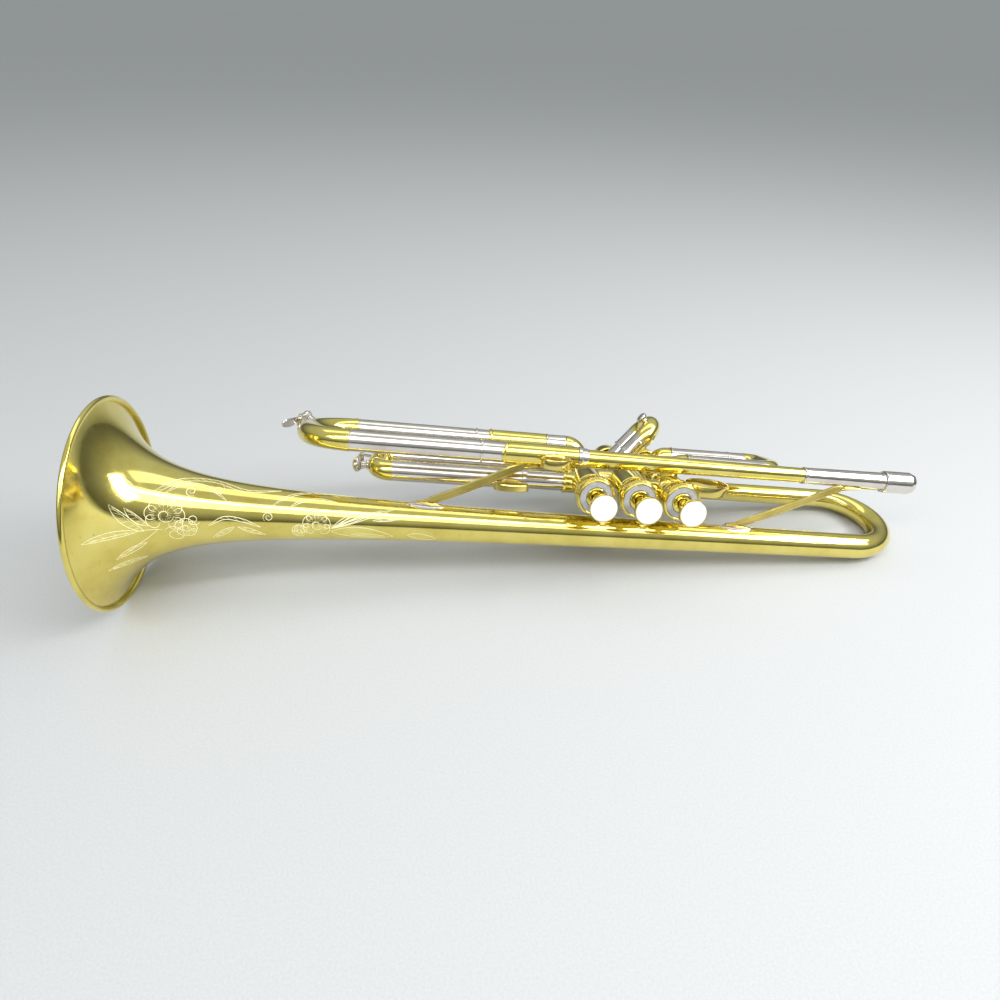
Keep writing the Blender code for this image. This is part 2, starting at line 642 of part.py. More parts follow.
def make_third_slide(parent):
    """Moving slide with a square crook, its fixed inner tubes and the finger ring."""
    joint = add_empty("third_slide_joint", parent, (THIRD_JOINT, THIRD_Y, THIRD_Z[0]))
    end = THIRD_SLEEVE_END - THIRD_JOINT
    drop = THIRD_Z[1] - THIRD_Z[0]
    sleeve = SLEEVE_RADIUS - 0.1 * MM
    bore = SLIDE_BORE - 0.1 * MM
    upper = [(end, sleeve + 0.6 * MM), (end - 2.8 * MM, sleeve + 0.6 * MM),
             (end - 2.9 * MM, sleeve)]
    stations = [(AXIS_X * x, -AXIS_X, radius, bore) for x, radius in upper]
    stations += with_radii(square_crook(-AXIS_X, AXIS_Z * drop), sleeve, bore)
    for x, radius in reversed(upper):
        stations.append((Vector((x, 0.0, drop)), AXIS_X, radius, bore))
    add_piece("third_slide", hollow_sweep(stations, AXIS_Y), BRASS, joint)
    for name, z in zip(("upper", "lower"), THIRD_Z):
        start = Vector((THIRD_JOINT + 14.0 * MM, THIRD_Y, z))
        finish = Vector((VALVE_X, THIRD_Y, z))
        length = finish.x - start.x
        collar = [(length - CASING_RADIUS - 5.5 * MM, length, 6.6 * MM)]
        tube = hollow_sweep(ringed_tube(start, finish, 5.45 * MM, 4.95 * MM, collar), AXIS_Y)
        piece = add_piece("third_inner_" + name, tube, NICKEL, parent)
        cut_with(piece, valve_cylinder(3, CASING_RADIUS + GAP), "third_inner_%s_cut" % name)
    return joint


def make_first_slide(parent):
    """Moving slide and its fixed elbows, which leave valve 1 on the leadpipe side."""
    upper = Vector((FIRST_JOINT, *FIRST_LEGS[0]))
    lower = Vector((FIRST_JOINT, *FIRST_LEGS[1]))
    joint = add_empty("first_slide_joint", parent, upper)
    sleeve = SLEEVE_RADIUS - 0.1 * MM
    bore = SLIDE_BORE - 0.1 * MM
    length = FIRST_JOINT - FIRST_SLEEVE_START
    across = lower - upper
    ends = [(-length, sleeve + 0.4 * MM), (-length + 1.2 * MM, sleeve + 0.4 * MM),
            (-length + 1.3 * MM, sleeve)]
    stations = [(AXIS_X * x, AXIS_X, radius, bore) for x, radius in ends]
    stations += with_radii(square_crook(AXIS_X, across), sleeve, bore)
    for x, radius in reversed(ends):
        stations.append((across + AXIS_X * x, -AXIS_X, radius, bore))
    add_piece("first_slide", hollow_sweep(stations, AXIS_Y), BRASS, joint)
    for name, (y, z) in zip(("upper", "lower"), FIRST_LEGS):
        start = Vector((valve_centre(1).x, y - FIRST_BEND, z))
        path = quarter_bend(start, AXIS_Y, AXIS_X, FIRST_BEND, 3)
        path.append((Vector((FIRST_JOINT - 6.0 * MM, y, z)), AXIS_X))
        tube = hollow_sweep(with_radii(path, 5.45 * MM, 4.95 * MM))
        piece = add_piece("first_inner_" + name, tube, NICKEL, parent)
        cut_with(piece, valve_cylinder(1, CASING_RADIUS + GAP), "first_inner_%s_cut" % name)


def second_direction():
    return Vector((math.sin(SECOND_ANGLE), math.cos(SECOND_ANGLE), 0.0))


def second_side():
    return Vector((math.cos(SECOND_ANGLE), -math.sin(SECOND_ANGLE), 0.0))


def second_roots():
    """Points on valve 2's axis region where the two legs start."""
    near = valve_centre(2) + second_side() * SECOND_ROOT[0] + AXIS_Z * SECOND_ROOT[1]
    sideways, down = SECOND_SEPARATION
    return [near, near + second_side() * sideways + AXIS_Z * down]


def make_second_slide(parent):
    """Short slide of valve 2 with its pull knob."""
    roots = second_roots()
    out = second_direction()
    across = roots[1] - roots[0]
    joint = add_empty("second_slide_joint", parent, roots[0] + out * SECOND_JOINT)
    sleeve = SLEEVE_RADIUS - 0.1 * MM
    bore = SLIDE_BORE - 0.1 * MM
    length = SECOND_JOINT - SECOND_SLEEVE
    ends = [(-length, sleeve + 0.4 * MM), (-length + 1.2 * MM, sleeve + 0.4 * MM),
            (-length + 1.3 * MM, sleeve)]
    stations = [(out * s, out, radius, bore) for s, radius in ends]
    stations += with_radii(half_bend((0, 0, 0), out, across, 6), sleeve, bore)
    for s, radius in reversed(ends):
        stations.append((across + out * s, -out, radius, bore))
    add_piece("second_slide", hollow_sweep(stations, second_side()), BRASS, joint)
    knob = [(0.0, 6.9 * MM), (2.2 * MM, 6.9 * MM), (2.2 * MM, 7.4 * MM), (3.6 * MM, 7.9 * MM),
            (3.6 * MM, 9.8 * MM), (2.4 * MM, 10.6 * MM), (0.0, 10.7 * MM)]
    base = across / 2.0 + out * (across.length / 2.0 - 0.5 * MM) + AXIS_Z * KNOB_RISE
    add_piece("second_slide_knob", turned(knob, base, -second_side(), 12, AXIS_Z), NICKEL, joint)
    for name, root in zip(("upper", "lower"), roots):
        tip = root + out * (SECOND_JOINT - 1.0 * MM)
        tube = hollow_sweep(straight_tube(root, tip, 5.45 * MM, 4.95 * MM))
        piece = add_piece("second_inner_" + name, tube, NICKEL, parent)
        cut_with(piece, valve_cylinder(2, CASING_RADIUS + GAP), "second_inner_%s_cut" % name)


def loop_band(centre, sizes, steps=16):
    """Oval ring band whose axis runs along y; sizes as in the finger ring constants."""
    half_length, half_height, half_width = sizes
    wall = RING_WALL
    bm = bmesh.new()
    rings = []
    for y, grow in ((-half_width, 0.0), (half_width, 0.0), (half_width, wall), (-half_width, wall)):
        points = []
        for step in range(steps):
            angle = 2.0 * math.pi * step / steps
            x = (half_length - wall + grow) * math.cos(angle)
            z = (half_height - wall + grow) * math.sin(angle)
            points.append(bm.verts.new(Vector(centre) + Vector((x, y, z))))
        rings.append(points)
    for index in range(4):
        bridge(bm, rings[index], rings[(index + 1) % 4])
    return bm


def make_rings(root, third_joint):
    """Pinky hook, thumb ring and the finger ring of the third slide."""
    lift = BRASS_TUBE_RADIUS + GAP + PINKY_RING[1]
    seat = lead_point(PINKY_X) + AXIS_Z * lift - AXIS_Y * PINKY_LOWER
    add_piece("pinky_hook", loop_band(seat, PINKY_RING), BRASS, root)
    add_piece("thumb_ring", loop_band(THUMB_CENTRE, THUMB_RING), BRASS, root)
    lift = SLEEVE_RADIUS + GAP + THIRD_RING[1]
    seat = Vector((THIRD_RING_X - THIRD_JOINT, -THIRD_RING_LOWER, lift))
    add_piece("third_finger_ring", loop_band(seat, THIRD_RING), BRASS, third_joint)


def brace_outline(run, rise, width, first_foot, last_foot):
    """Z-shaped flat bar in its own plane: a foot on each tube and a slanting web."""
    half = width / 2.0
    slant = Vector((run, rise)).normalized()
    normal = Vector((-slant.y, slant.x)) * half
    thin = 1.5 * MM
    return [(-first_foot, 0.0), (normal.x + 2.0 * half, 0.0), (run + 0.5 * half, rise - thin),
            (run + last_foot, rise - thin), (run + last_foot, rise), (run - 2.0 * half, rise),
            (-half * 0.8, thin), (-first_foot, thin)]


def make_brace(name, start_x, end_x, tube_radius, last_foot, parent):
    """Flat Z brace between the bell tube and the leadpipe line, just above their mid plane."""
    flange = BRACE_FOOT + start_x
    start = Vector((flange, bell_radius(start_x) + GAP, BRACE_Z))
    step = BRACE_Z - BRACE_THICKNESS / 2.0 - LEAD_Z
    end = lead_point(end_x) - AXIS_Y * (math.sqrt(tube_radius ** 2 - step ** 2) + GAP)
    outline = brace_outline(end.x - start.x, end.y - start.y, BRACE_WIDTH, BRACE_FOOT, last_foot)
    bar = prism(outline, Matrix.Identity(3), start, BRACE_THICKNESS / 2.0)
    add_piece(name, bar, BRASS, parent)


def make_braces(parent):
    make_brace("front_brace", 164.5 * MM, 230.0 * MM, BRASS_TUBE_RADIUS, 27.0 * MM, parent)
    make_brace("rear_brace", 360.0 * MM, 434.0 * MM, 5.6 * MM, 15.0 * MM, parent)
    knuckle_bottom = VALVE_Y - KNUCKLE_RADIUS - GAP
    base = Vector((valve_centre(2).x + VALVE_SPACING / 2.0, 0.0, KNUCKLE_Z[1]))
    base.y = bell_radius(base.x) + GAP
    height = knuckle_bottom - base.y
    outline = [(0.0, 0.0), (4.2 * MM, 0.0), (4.2 * MM, 0.8 * MM), (1.8 * MM, 1.2 * MM),
               (1.8 * MM, height), (0.0, height)]
    add_piece("bell_post", turned(outline, base, AXIS_Y, 12), BRASS, parent)


def key_frame(along, outward):
    """Axes of a water key: along the lever towards the pad, away from the tube, hinge axis."""
    along = Vector(along).normalized()
    outward = (Vector(outward) - along * along.dot(Vector(outward))).normalized()
    return Matrix((along, outward, along.cross(outward))).transposed()


def make_main_water_key(tuning_joint):
    """Lever on the lower corner of the front crook; its pad closes a nipple."""
    across = Vector((0.0, *LOWER_OFFSET))
    side = across.normalized()
    turn = math.radians(90.0 + MAIN_KEY_TURN)
    arm = -side * math.cos(turn) - AXIS_X * math.sin(turn)
    on_crook = across / 2.0 + arm * (across.length / 2.0)
    tilt = math.radians(MAIN_KEY_TILT)
    outward = arm * math.cos(tilt) + AXIS_X.cross(side).normalized() * math.sin(tilt)
    reach = SLEEVE_RADIUS + 0.1 * MM + GAP
    axes = key_frame(Vector((11.1, 2.0, -13.8)), outward)
    seat = rod_solid(on_crook + outward * reach, on_crook + outward * (reach + 4.4 * MM),
                     2.4 * MM, 12, AXIS_Y)
    add_piece("main_water_key_seat", seat, NICKEL, tuning_joint)
    pad = on_crook + outward * (reach + 4.4 * MM + GAP)
    pivot = pad + axes @ Vector((-7.5 * MM, 0.0, 0.0))
    outline = [(10.5, 0.0), (10.5, 4.4), (4.5, 4.4), (3.5, 3.4), (-6.0, 0.4), (-12.5, -1.2),
               (-12.5, -2.6), (-6.0, -1.0), (-1.6, 0.2), (-1.2, -1.2), (1.2, -1.2), (1.6, 1.2),
               (4.5, 2.0), (4.5, 0.0)]
    joint = add_empty("main_water_key_pivot", tuning_joint, pivot)
    points = [(a * MM, b * MM) for a, b in outline]
    add_piece("main_water_key", prism(points, axes, (0, 0, 0), 2.8 * MM), NICKEL, joint)


def make_third_water_key(third_joint):
    """Lever on the front of the third slide's crook, with a domed pad cup."""
    front = -CROOK_BEND - SLEEVE_RADIUS + 0.1 * MM - GAP
    pad = Vector((front - 3.6 * MM, 0.0, THIRD_KEY_HEIGHT))
    seat = rod_solid(Vector((front, 0.0, pad.z)), pad, 2.6 * MM, 12, AXIS_Y)
    add_piece("third_water_key_seat", seat, NICKEL, third_joint)
    axes = key_frame(AXIS_Z, -AXIS_X)
    pivot = pad - AXIS_Z * 8.5 * MM - AXIS_X * GAP
    outline = [(12.7, 0.0), (12.7, 2.4), (10.9, 4.6), (6.1, 4.6), (4.3, 2.8), (0.0, 1.8),
               (-8.5, 3.0), (-8.5, 1.8), (-2.0, 0.4), (-1.8, -1.6), (1.8, -1.6), (2.0, 0.6),
               (4.3, 1.4), (4.3, 0.0)]
    joint = add_empty("third_water_key_pivot", third_joint, pivot)
    points = [(a * MM, b * MM) for a, b in outline]
    add_piece("third_water_key", prism(points, axes, (0, 0, 0), 3.4 * MM), NICKEL, joint)


def rest_matrix():
    """Turn from the trumpet's axes to the world's, with the table's normal as world z."""
    roll_up = Vector((0.0, math.cos(REST_ROLL), math.sin(REST_ROLL)))
    up = (roll_up - AXIS_X * math.tan(REST_PITCH)).normalized()
    along = (AXIS_X - up * AXIS_X.dot(up)).normalized()
    across = up.cross(along)
    return Matrix((along, across, up))


def lay_down(root):
    """Rest the lowest points on the table and centre the whole over the origin."""
    root.rotation_euler = rest_matrix().to_euler()
    bpy.context.view_layer.update()
    corners = [piece.matrix_world @ vertex.co
               for piece in bpy.data.objects if piece.type == 'MESH' and not piece.hide_render
               for vertex in piece.data.vertices]
    middle_x = (min(c.x for c in corners) + max(c.x for c in corners)) / 2.0
    middle_y = (min(c.y for c in corners) + max(c.y for c in corners)) / 2.0
    root.location = (-middle_x, -middle_y, -min(c.z for c in corners))


def main():
    clear_scene()
    root = add_empty("trumpet", None)
    make_bell(root)
    make_rim_wire(root)
    make_leadpipe(root)
    make_receiver(root)
    make_outer_tubes(root)
    make_valve_entry(root)
    for index in (1, 2, 3):
        make_casing(index, root)
        make_caps(index, root)
        make_piston(index, root)
        make_spring(index, root)
    make_knuckle(3, 2, KNUCKLE_Z[0], root)
    make_knuckle(2, 1, KNUCKLE_Z[1], root)
    tuning_joint = make_tuning_slide(root)
    third_joint = make_third_slide(root)
    make_first_slide(root)
    make_second_slide(root)
    make_rings(root, third_joint)
    make_braces(root)
    make_main_water_key(tuning_joint)
    make_third_water_key(third_joint)
    lay_down(root)


main()
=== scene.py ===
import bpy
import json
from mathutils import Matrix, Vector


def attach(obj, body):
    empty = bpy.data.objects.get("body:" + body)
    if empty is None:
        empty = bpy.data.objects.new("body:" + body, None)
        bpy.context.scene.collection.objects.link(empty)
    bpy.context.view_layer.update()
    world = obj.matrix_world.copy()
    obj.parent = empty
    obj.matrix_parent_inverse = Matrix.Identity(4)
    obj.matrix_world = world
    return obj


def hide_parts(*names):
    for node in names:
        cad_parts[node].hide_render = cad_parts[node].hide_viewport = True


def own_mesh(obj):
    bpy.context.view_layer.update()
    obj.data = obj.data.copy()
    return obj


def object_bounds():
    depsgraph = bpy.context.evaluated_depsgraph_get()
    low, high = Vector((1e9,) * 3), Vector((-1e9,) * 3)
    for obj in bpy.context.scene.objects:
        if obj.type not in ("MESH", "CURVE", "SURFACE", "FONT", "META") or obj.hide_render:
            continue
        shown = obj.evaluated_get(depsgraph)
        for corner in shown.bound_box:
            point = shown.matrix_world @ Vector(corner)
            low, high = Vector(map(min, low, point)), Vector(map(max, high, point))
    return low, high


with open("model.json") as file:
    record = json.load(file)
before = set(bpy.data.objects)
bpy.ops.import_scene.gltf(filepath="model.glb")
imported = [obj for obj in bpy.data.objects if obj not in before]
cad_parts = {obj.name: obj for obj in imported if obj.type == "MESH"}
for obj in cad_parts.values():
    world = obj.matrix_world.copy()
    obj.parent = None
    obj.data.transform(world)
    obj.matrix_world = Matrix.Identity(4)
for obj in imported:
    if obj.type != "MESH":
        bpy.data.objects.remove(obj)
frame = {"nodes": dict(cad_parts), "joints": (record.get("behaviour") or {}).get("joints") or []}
cad_box = [list(corner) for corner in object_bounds()]

# A lacquered brass trumpet with nickel-silver slides, lying on its bell side.
# Pieces are drawn in the trumpet's own axes and placed by the frame's joints:
# x from the bell mouth to the player, y from the bell to the leadpipe, z towards the buttons.
# Lengths are in metres, but outlines are (height, radius) points in mm.
import json
import math

import bpy
import numpy as np
from mathutils import Matrix, Vector

MM = 0.001
FRAME_BODY = "frame"
X = Vector((1, 0, 0))
Y = Vector((0, 1, 0))
Z = Vector((0, 0, 1))


# ---- frame
def joint_named(name):
    return next(joint for joint in frame["joints"] if joint["name"] == name)


def joint_axis(name):
    return Vector(joint_named(name)["axis"]).normalized()


WORLD_Z = -joint_axis("valve_1_press")
WORLD_X = joint_axis("first_slide_pull")
WORLD_X = (WORLD_X - WORLD_Z * WORLD_X.dot(WORLD_Z)).normalized()
TURN = Matrix((WORLD_X, WORLD_Z.cross(WORLD_X), WORLD_Z)).transposed()


def turned_points(node):
    """A CAD node's vertices along the trumpet's axes, before the origin is taken off."""
    vertices = frame["nodes"][node].data.vertices
    flat = np.zeros(len(vertices) * 3)
    vertices.foreach_get("co", flat)
    return np.unique(np.round(flat.reshape(-1, 3), 7), axis=0) @ np.array(TURN)


BEAD = turned_points("bell_rim_bead")
ORIGIN = np.array([BEAD[:, 0].min(), BEAD[:, 1].mean(), BEAD[:, 2].mean()])
PLACE = Matrix.Translation(TURN @ Vector(ORIGIN)) @ TURN.to_4x4()


def low(node):
    return Vector((turned_points(node) - ORIGIN).min(0))


def high(node):
    return Vector((turned_points(node) - ORIGIN).max(0))


def box_middle(node):
    return (low(node) + high(node)) / 2.0


def middle(node):
    return Vector((turned_points(node) - ORIGIN).mean(0))


def local(direction):
    return (TURN.transposed() @ Vector(direction)).normalized()


LEAD = -local(joint_axis("tuning_slide_pull"))
LEAD_BASE = middle("mouthpiece_receiver")
LOWER_OFFSET = middle("lower_outer_tube") - middle("upper_outer_tube")
LOWER_OFFSET.y -= LEAD.y * LOWER_OFFSET.x
LOWER_OFFSET.x = 0.0
LEAD_SIDES = {"upper": Vector((0, 0, 0)), "lower": LOWER_OFFSET}
SECOND = local(joint_axis("second_slide_pull"))
SECOND_SIDE = Vector((SECOND.y, -SECOND.x, 0.0))


def lead_point(x, side="upper"):
    """Point of the leadpipe line, or of the lower line beside it, at a station x."""
    return LEAD_BASE + LEAD * ((x - LEAD_BASE.x) / LEAD.x) + LEAD_SIDES[side]


# ---- materials
class Look:
    """The shader nodes of a new material, or of a world."""

    def __init__(self, name, world=None):
        self.owner = world or bpy.data.materials.new(name)
        self.owner.use_nodes = True
        self.nodes = self.owner.node_tree.nodes
        self.links = self.owner.node_tree.links
        self.shader = self.nodes["Background" if world else "Principled BSDF"]

    def feed(self, socket, value):
        """Link an output to a socket, or give the socket a value."""
        if isinstance(value, bpy.types.NodeSocket):
            self.links.new(value, socket)
        elif socket.type == "RGBA":
            socket.default_value = (*value, 1.0)
        else:
            socket.default_value = value

    def add(self, kind, inputs, **settings):
        """New node with its settings, and its inputs by name or number."""
        element = self.nodes.new("ShaderNode" + kind)
        for name, value in settings.items():
            setattr(element, name, value)
        for name, value in inputs.items():
            self.feed(element.inputs[name], value)
        return element

    def shade(self, **inputs):
        """Feed the shader's inputs, named with _ for each space."""
        for name, value in inputs.items():
            self.feed(self.shader.inputs[name.replace("_", " ")], value)

    def noise(self, scale, detail=4.0, stretch=(1, 1, 1), rough=0.5):
        """Noise over the trumpet's own coordinates, in features per metre."""
        place = self.add("TexCoord", {}).outputs["Object"]
        place = self.add("Mapping", {"Vector": place, "Scale": stretch}).outputs["Vector"]
        values = {"Vector": place, "Scale": scale, "Detail": detail, "Roughness": rough}
        return self.add("TexNoise", values).outputs["Fac"]

    def ramp(self, source, *stops):
        element = self.add("ValToRGB", {"Fac": source})
        points = element.color_ramp.elements
        while len(points) < len(stops):
            points.new(0.5)
        for point, (position, colour) in zip(points, stops):
            point.position = position
            point.color = (*colour, 1.0)
        return element.outputs["Color"]

    def scaled(self, source, low_value, high_value, start=0.0, end=1.0):
        values = {"Value": source, "From Min": start, "From Max": end, "To Min": low_value,
                  "To Max": high_value}
        return self.add("MapRange", values).outputs["Result"]

    def mixed(self, factor, first, second, mode="MIX"):
        values = {0: factor, 6: first, 7: second}
        return self.add("Mix", values, data_type="RGBA", blend_type=mode).outputs[2]

    def added(self, first, second):
        return self.add("Math", {0: first, 1: second}).outputs[0]

    def bump(self, height, strength, distance):
        values = {"Strength": strength, "Distance": distance, "Height": height}
        self.shade(Normal=self.add("Bump", values).outputs["Normal"])


def polished_metal(name, speck, rough, coat, scratch, *stops):
    """Polished metal: colour drift, handling haze, specks of tarnish, fine wiping scratches."""
    look = Look(name)
    colour = look.ramp(look.noise(42.0, 5.0, rough=0.6), *stops)
    spots = look.scaled(look.noise(620.0, 2.0), 0.0, 0.75, 0.69, 0.76)
    colour = look.mixed(spots, colour, speck)
    haze = look.noise(75.0, 6.0, rough=0.65)
    fine = look.noise(900.0, 3.0, (0.05, 1.0, 1.0))
    smudge = look.scaled(haze, rough * 0.6, rough * 1.9, 0.32, 0.74)
    smudge = look.added(smudge, look.scaled(fine, -0.02, 0.04))
    smudge = look.added(smudge, look.scaled(spots, 0.0, 0.25))
    look.shade(Base_Color=colour, Metallic=1.0, Roughness=smudge)
    look.shade(Coat_Weight=coat, Coat_Roughness=0.06, Coat_IOR=1.48)
    look.bump(fine, scratch, 0.00004)
    return look.owner


def make_cut_glint():
    """Slightly frosty brass of the cut lines, lightened almost to white as a painted highlight for
    the glints the cuts catch.
    """
    look = Look("cut_brass")
    grain = look.noise(2400.0, 2.0)
    # Painted highlight: the pale, nearly white colour stands in for light glinting off the cuts.
    colour = look.ramp(grain, (0.3, (0.95, 0.88, 0.46)), (0.7, (1.0, 0.98, 0.70)))
    look.shade(Base_Color=colour, Metallic=0.2, Roughness=look.scaled(grain, 0.3, 0.5))
    return look.owner


def make_steel():
    look = Look("satin_steel")
    brush = look.noise(1400.0, 3.0, (1.0, 1.0, 0.06))
    colour = look.ramp(brush, (0.3, (0.44, 0.44, 0.45)), (0.7, (0.62, 0.62, 0.63)))
    look.shade(Base_Color=colour, Metallic=1.0, Roughness=look.scaled(brush, 0.24, 0.42))
    look.bump(brush, 0.15, 0.00005)
    return look.owner


def make_pearl():
    """Mother of pearl: cloudy bands that turn faintly pink and green with the viewing angle."""
    look = Look("mother_of_pearl")
    cloud = look.noise(210.0, 4.0, (1.0, 0.45, 1.0))
    body = look.ramp(cloud, (0.32, (0.88, 0.87, 0.86)), (0.5, (0.95, 0.94, 0.92)),
                     (0.68, (0.99, 0.98, 0.97)))
    facing = look.add("LayerWeight", {"Blend": 0.35}).outputs["Facing"]
    wander = look.added(facing, look.scaled(cloud, -0.3, 0.3))
    tint = look.ramp(wander, (0.15, (1.0, 0.95, 0.97)), (0.45, (0.92, 1.0, 0.97)),
                     (0.8, (0.93, 0.95, 1.0)))
    look.shade(Base_Color=look.mixed(0.8, body, tint, "MULTIPLY"))
    look.shade(Roughness=look.scaled(cloud, 0.16, 0.32), Coat_Weight=0.6, Coat_Roughness=0.08)
    look.bump(cloud, 0.12, 0.0001)
    return look.owner


def make_felt():
    look = Look("grey_felt")
    fibre = look.noise(3200.0, 6.0, rough=0.75)
    matted = look.noise(500.0, 3.0)
    colour = look.ramp(fibre, (0.3, (0.30, 0.30, 0.32)), (0.7, (0.60, 0.60, 0.63)))
    shade = look.ramp(matted, (0.3, (0.78, 0.78, 0.78)), (0.7, (1.0, 1.0, 1.0)))
    colour = look.mixed(1.0, colour, shade, "MULTIPLY")
    look.shade(Base_Color=colour, Roughness=0.95, Sheen_Weight=0.4)
    look.bump(fibre, 0.7, 0.0003)
    return look.owner


def make_floor_material():
    look = Look("pale_floor")
    grain = look.noise(900.0, 4.0)
    colour = look.ramp(grain, (0.3, (0.48, 0.49, 0.50)), (0.7, (0.53, 0.54, 0.55)))
    look.shade(Base_Color=colour, Roughness=0.7)
    look.bump(grain, 0.08, 0.0002)
    return look.owner


BRASS = polished_metal("lacquered_brass", (0.42, 0.27, 0.09), 0.085, 0.35, 0.10,
                       (0.30, (0.70, 0.57, 0.13)), (0.52, (0.82, 0.69, 0.18)),
                       (0.72, (0.88, 0.77, 0.24)))
# The same brass where hands and seams keep it duller.
DULL_BRASS = polished_metal("handled_brass", (0.34, 0.22, 0.08), 0.15, 0.25, 0.20,
                            (0.30, (0.60, 0.46, 0.12)), (0.52, (0.74, 0.60, 0.17)),
                            (0.72, (0.84, 0.71, 0.24)))
NICKEL = polished_metal("nickel_silver", (0.45, 0.36, 0.28), 0.10, 0.0, 0.16,
                        (0.30, (0.60, 0.55, 0.49)), (0.50, (0.73, 0.68, 0.62)),
                        (0.70, (0.82, 0.78, 0.73)))
# The cut lines' brass, with a painted highlight for their glints.
CUT_GLINT = make_cut_glint()
STEEL = make_steel()
PEARL = make_pearl()
FELT = make_felt()


# ---- mesh tools
def circle(centre, direction, radius, count, hint):
    """Ring of points, starting on the hint's side; each point may have its own radius."""
    forward = Vector(direction).normalized()
    side = (hint - forward * forward.dot(hint)).normalized()
    other = forward.cross(side)
    angles = np.linspace(0.0, math.tau, count, endpoint=False)
    spokes = np.outer(np.cos(angles), side) + np.outer(np.sin(angles), other)
    return np.array(centre) + spokes * np.reshape(radius, (-1, 1))


def shell(rings, looped=False):
    """Closed surface through equal rings: capped at both ends, or joined last to first."""
    count = len(rings[0])
    total = len(rings)
    faces = []
    for row in range(total if looped else total - 1):
        here = row * count
        there = (row + 1) % total * count
        for k in range(count):
            after = (k + 1) % count
            faces.append((here + k, here + after, there + after, there + k))
    if not looped:
        faces.append(tuple(reversed(range(count))))
        faces.append(tuple(range((total - 1) * count, total * count)))
    return np.concatenate(rings), faces


def piece(name, shells, material, node=None, body=FRAME_BODY, sharp=38.0):
    """One visible piece made of closed surfaces; it stands for the CAD node it names."""
    faces = []
    start = 0
    for points, polygons in shells:
        faces.extend([tuple(start + v for v in polygon) for polygon in polygons])
        start += len(points)
    vertices = np.concatenate([points for points, polygons in shells])
    mesh = bpy.data.meshes.new(name)
    mesh.from_pydata(vertices.tolist(), [], faces)
    mesh.validate()
    mesh.transform(PLACE)
    mesh.shade_smooth()
    mesh.set_sharp_from_angle(angle=math.radians(sharp))
    mesh.materials.append(material)
    shown = bpy.data.objects.new(name, mesh)
    bpy.context.scene.collection.objects.link(shown)
    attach(shown, body)
    if node:
        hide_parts(node)
    return shown


def above(level, *points):
    """Outline points with heights counted from a level."""
    return [(level + height, radius) for height, radius in points]


def softened(profile, radius, closed, steps=4):
    """Round the corners of an outline."""
    points = [Vector(p) for p in profile]
    count = len(points)
    result = []
    for index, point in enumerate(points):
        before = points[index - 1] - point
        after = points[(index + 1) % count] - point
        reach = min(radius, 0.45 * before.length, 0.45 * after.length)
        if reach < 0.0001 or (not closed and index in (0, count - 1)):
            result.append(point)
            continue
        start = point + before * (reach / before.length)
        end = point + after * (reach / after.length)
        for t in np.linspace(0, 1, steps + 1):
            result.append(start * (1 - t) ** 2 + point * 2 * t * (1 - t) + end * t ** 2)
    return result


NEEDLE = 0.05


def lathe(profile, base, axis, count=64, soft=0.3, hint=None):
    """Turned surface of an outline; one that starts further out than a needle has a bore."""
    axis = Vector(axis).normalized()
    hint = hint or (X if abs(axis.x) < 0.9 else Y)
    bored = profile[0][1] > NEEDLE
    rings = [circle(Vector(base) + axis * height * MM, axis, radius * MM, count, hint)
             for height, radius in softened(profile, soft, bored)]
    return shell(rings, bored)


def tube(start, end, radius, bore=None, count=48, end_radius=None):
    """Straight tube with rounded lips."""
    run = Vector(end) - Vector(start)
    last = end_radius or radius
    bore = bore or min(radius, last) - 0.5 * MM
    outline = np.array([(0.0, bore), (0.0, radius), (run.length, last), (run.length, bore)])
    return lathe(outline / MM, start, run, count, 0.25)


def arc(start, heading, side, radius, degrees, steps):
    """Stations (centre, direction) of a bend that turns from its heading towards a side."""
    start = Vector(start)
    side = side.normalized()
    path = []
    for angle in np.linspace(0, math.radians(degrees), steps + 1):
        across = side * radius * (1.0 - math.cos(angle))
        path.append((start + across + heading * radius * math.sin(angle),
                     heading * math.cos(angle) + side * math.sin(angle)))
    return path


def half_turn(start, heading, across, steps):
    return arc(start, heading, across, across.length / 2.0, 180, steps)


def square_turn(start, heading, across, radius):
    """Two quarter bends with a straight run between them."""
    side = across.normalized()
    corner = Vector(start) + heading * radius + side * (across.length - radius)
    return arc(start, heading, side, radius, 90, 12) + arc(corner, side, -heading, radius, 90, 12)


def rings_along(path, radius, hint=Z, count=56):
    return [circle(centre, heading, radius, count, hint) for centre, heading in path]


CASING_RADIUS = 9.75 * MM
FILLET = 0.8 * MM


def onto_casing(ring, outward, hub):
    """Slide a ring's points until they lie on an upright valve casing."""
    flat = np.array(outward)[:2]
    flat = flat / np.linalg.norm(flat)
    offset = ring[:, :2] - np.array(hub)[:2]
    along = offset @ flat
    aside = offset - np.outer(along, flat)
    reach = np.sqrt(np.maximum(CASING_RADIUS ** 2 - (aside ** 2).sum(axis=1), 0.0))
    return ring + np.outer(reach - along, outward)


def foot_rings(centre, inward, radius, hub, hint=Z, count=56):
    """Last rings of a tube that meets a casing, with a small solder fillet."""
    inward = Vector(inward).normalized()
    rings = []
    for lift, grow in ((2.6, 0.0), (1.0, 0.12), (0.4, 0.42), (0.0, 0.9), (-0.6, 1.0)):
        ring = circle(centre, inward, radius + FILLET * grow, count, hint)
        rings.append(onto_casing(ring, -inward, hub) - np.array(inward) * FILLET * lift)
    return rings


def rooted(path, radius, foot, inward, hub):
    """Tube along a path, soldered to a casing at its foot."""
    return shell(rings_along(path, radius) + foot_rings(foot, inward, radius, hub))


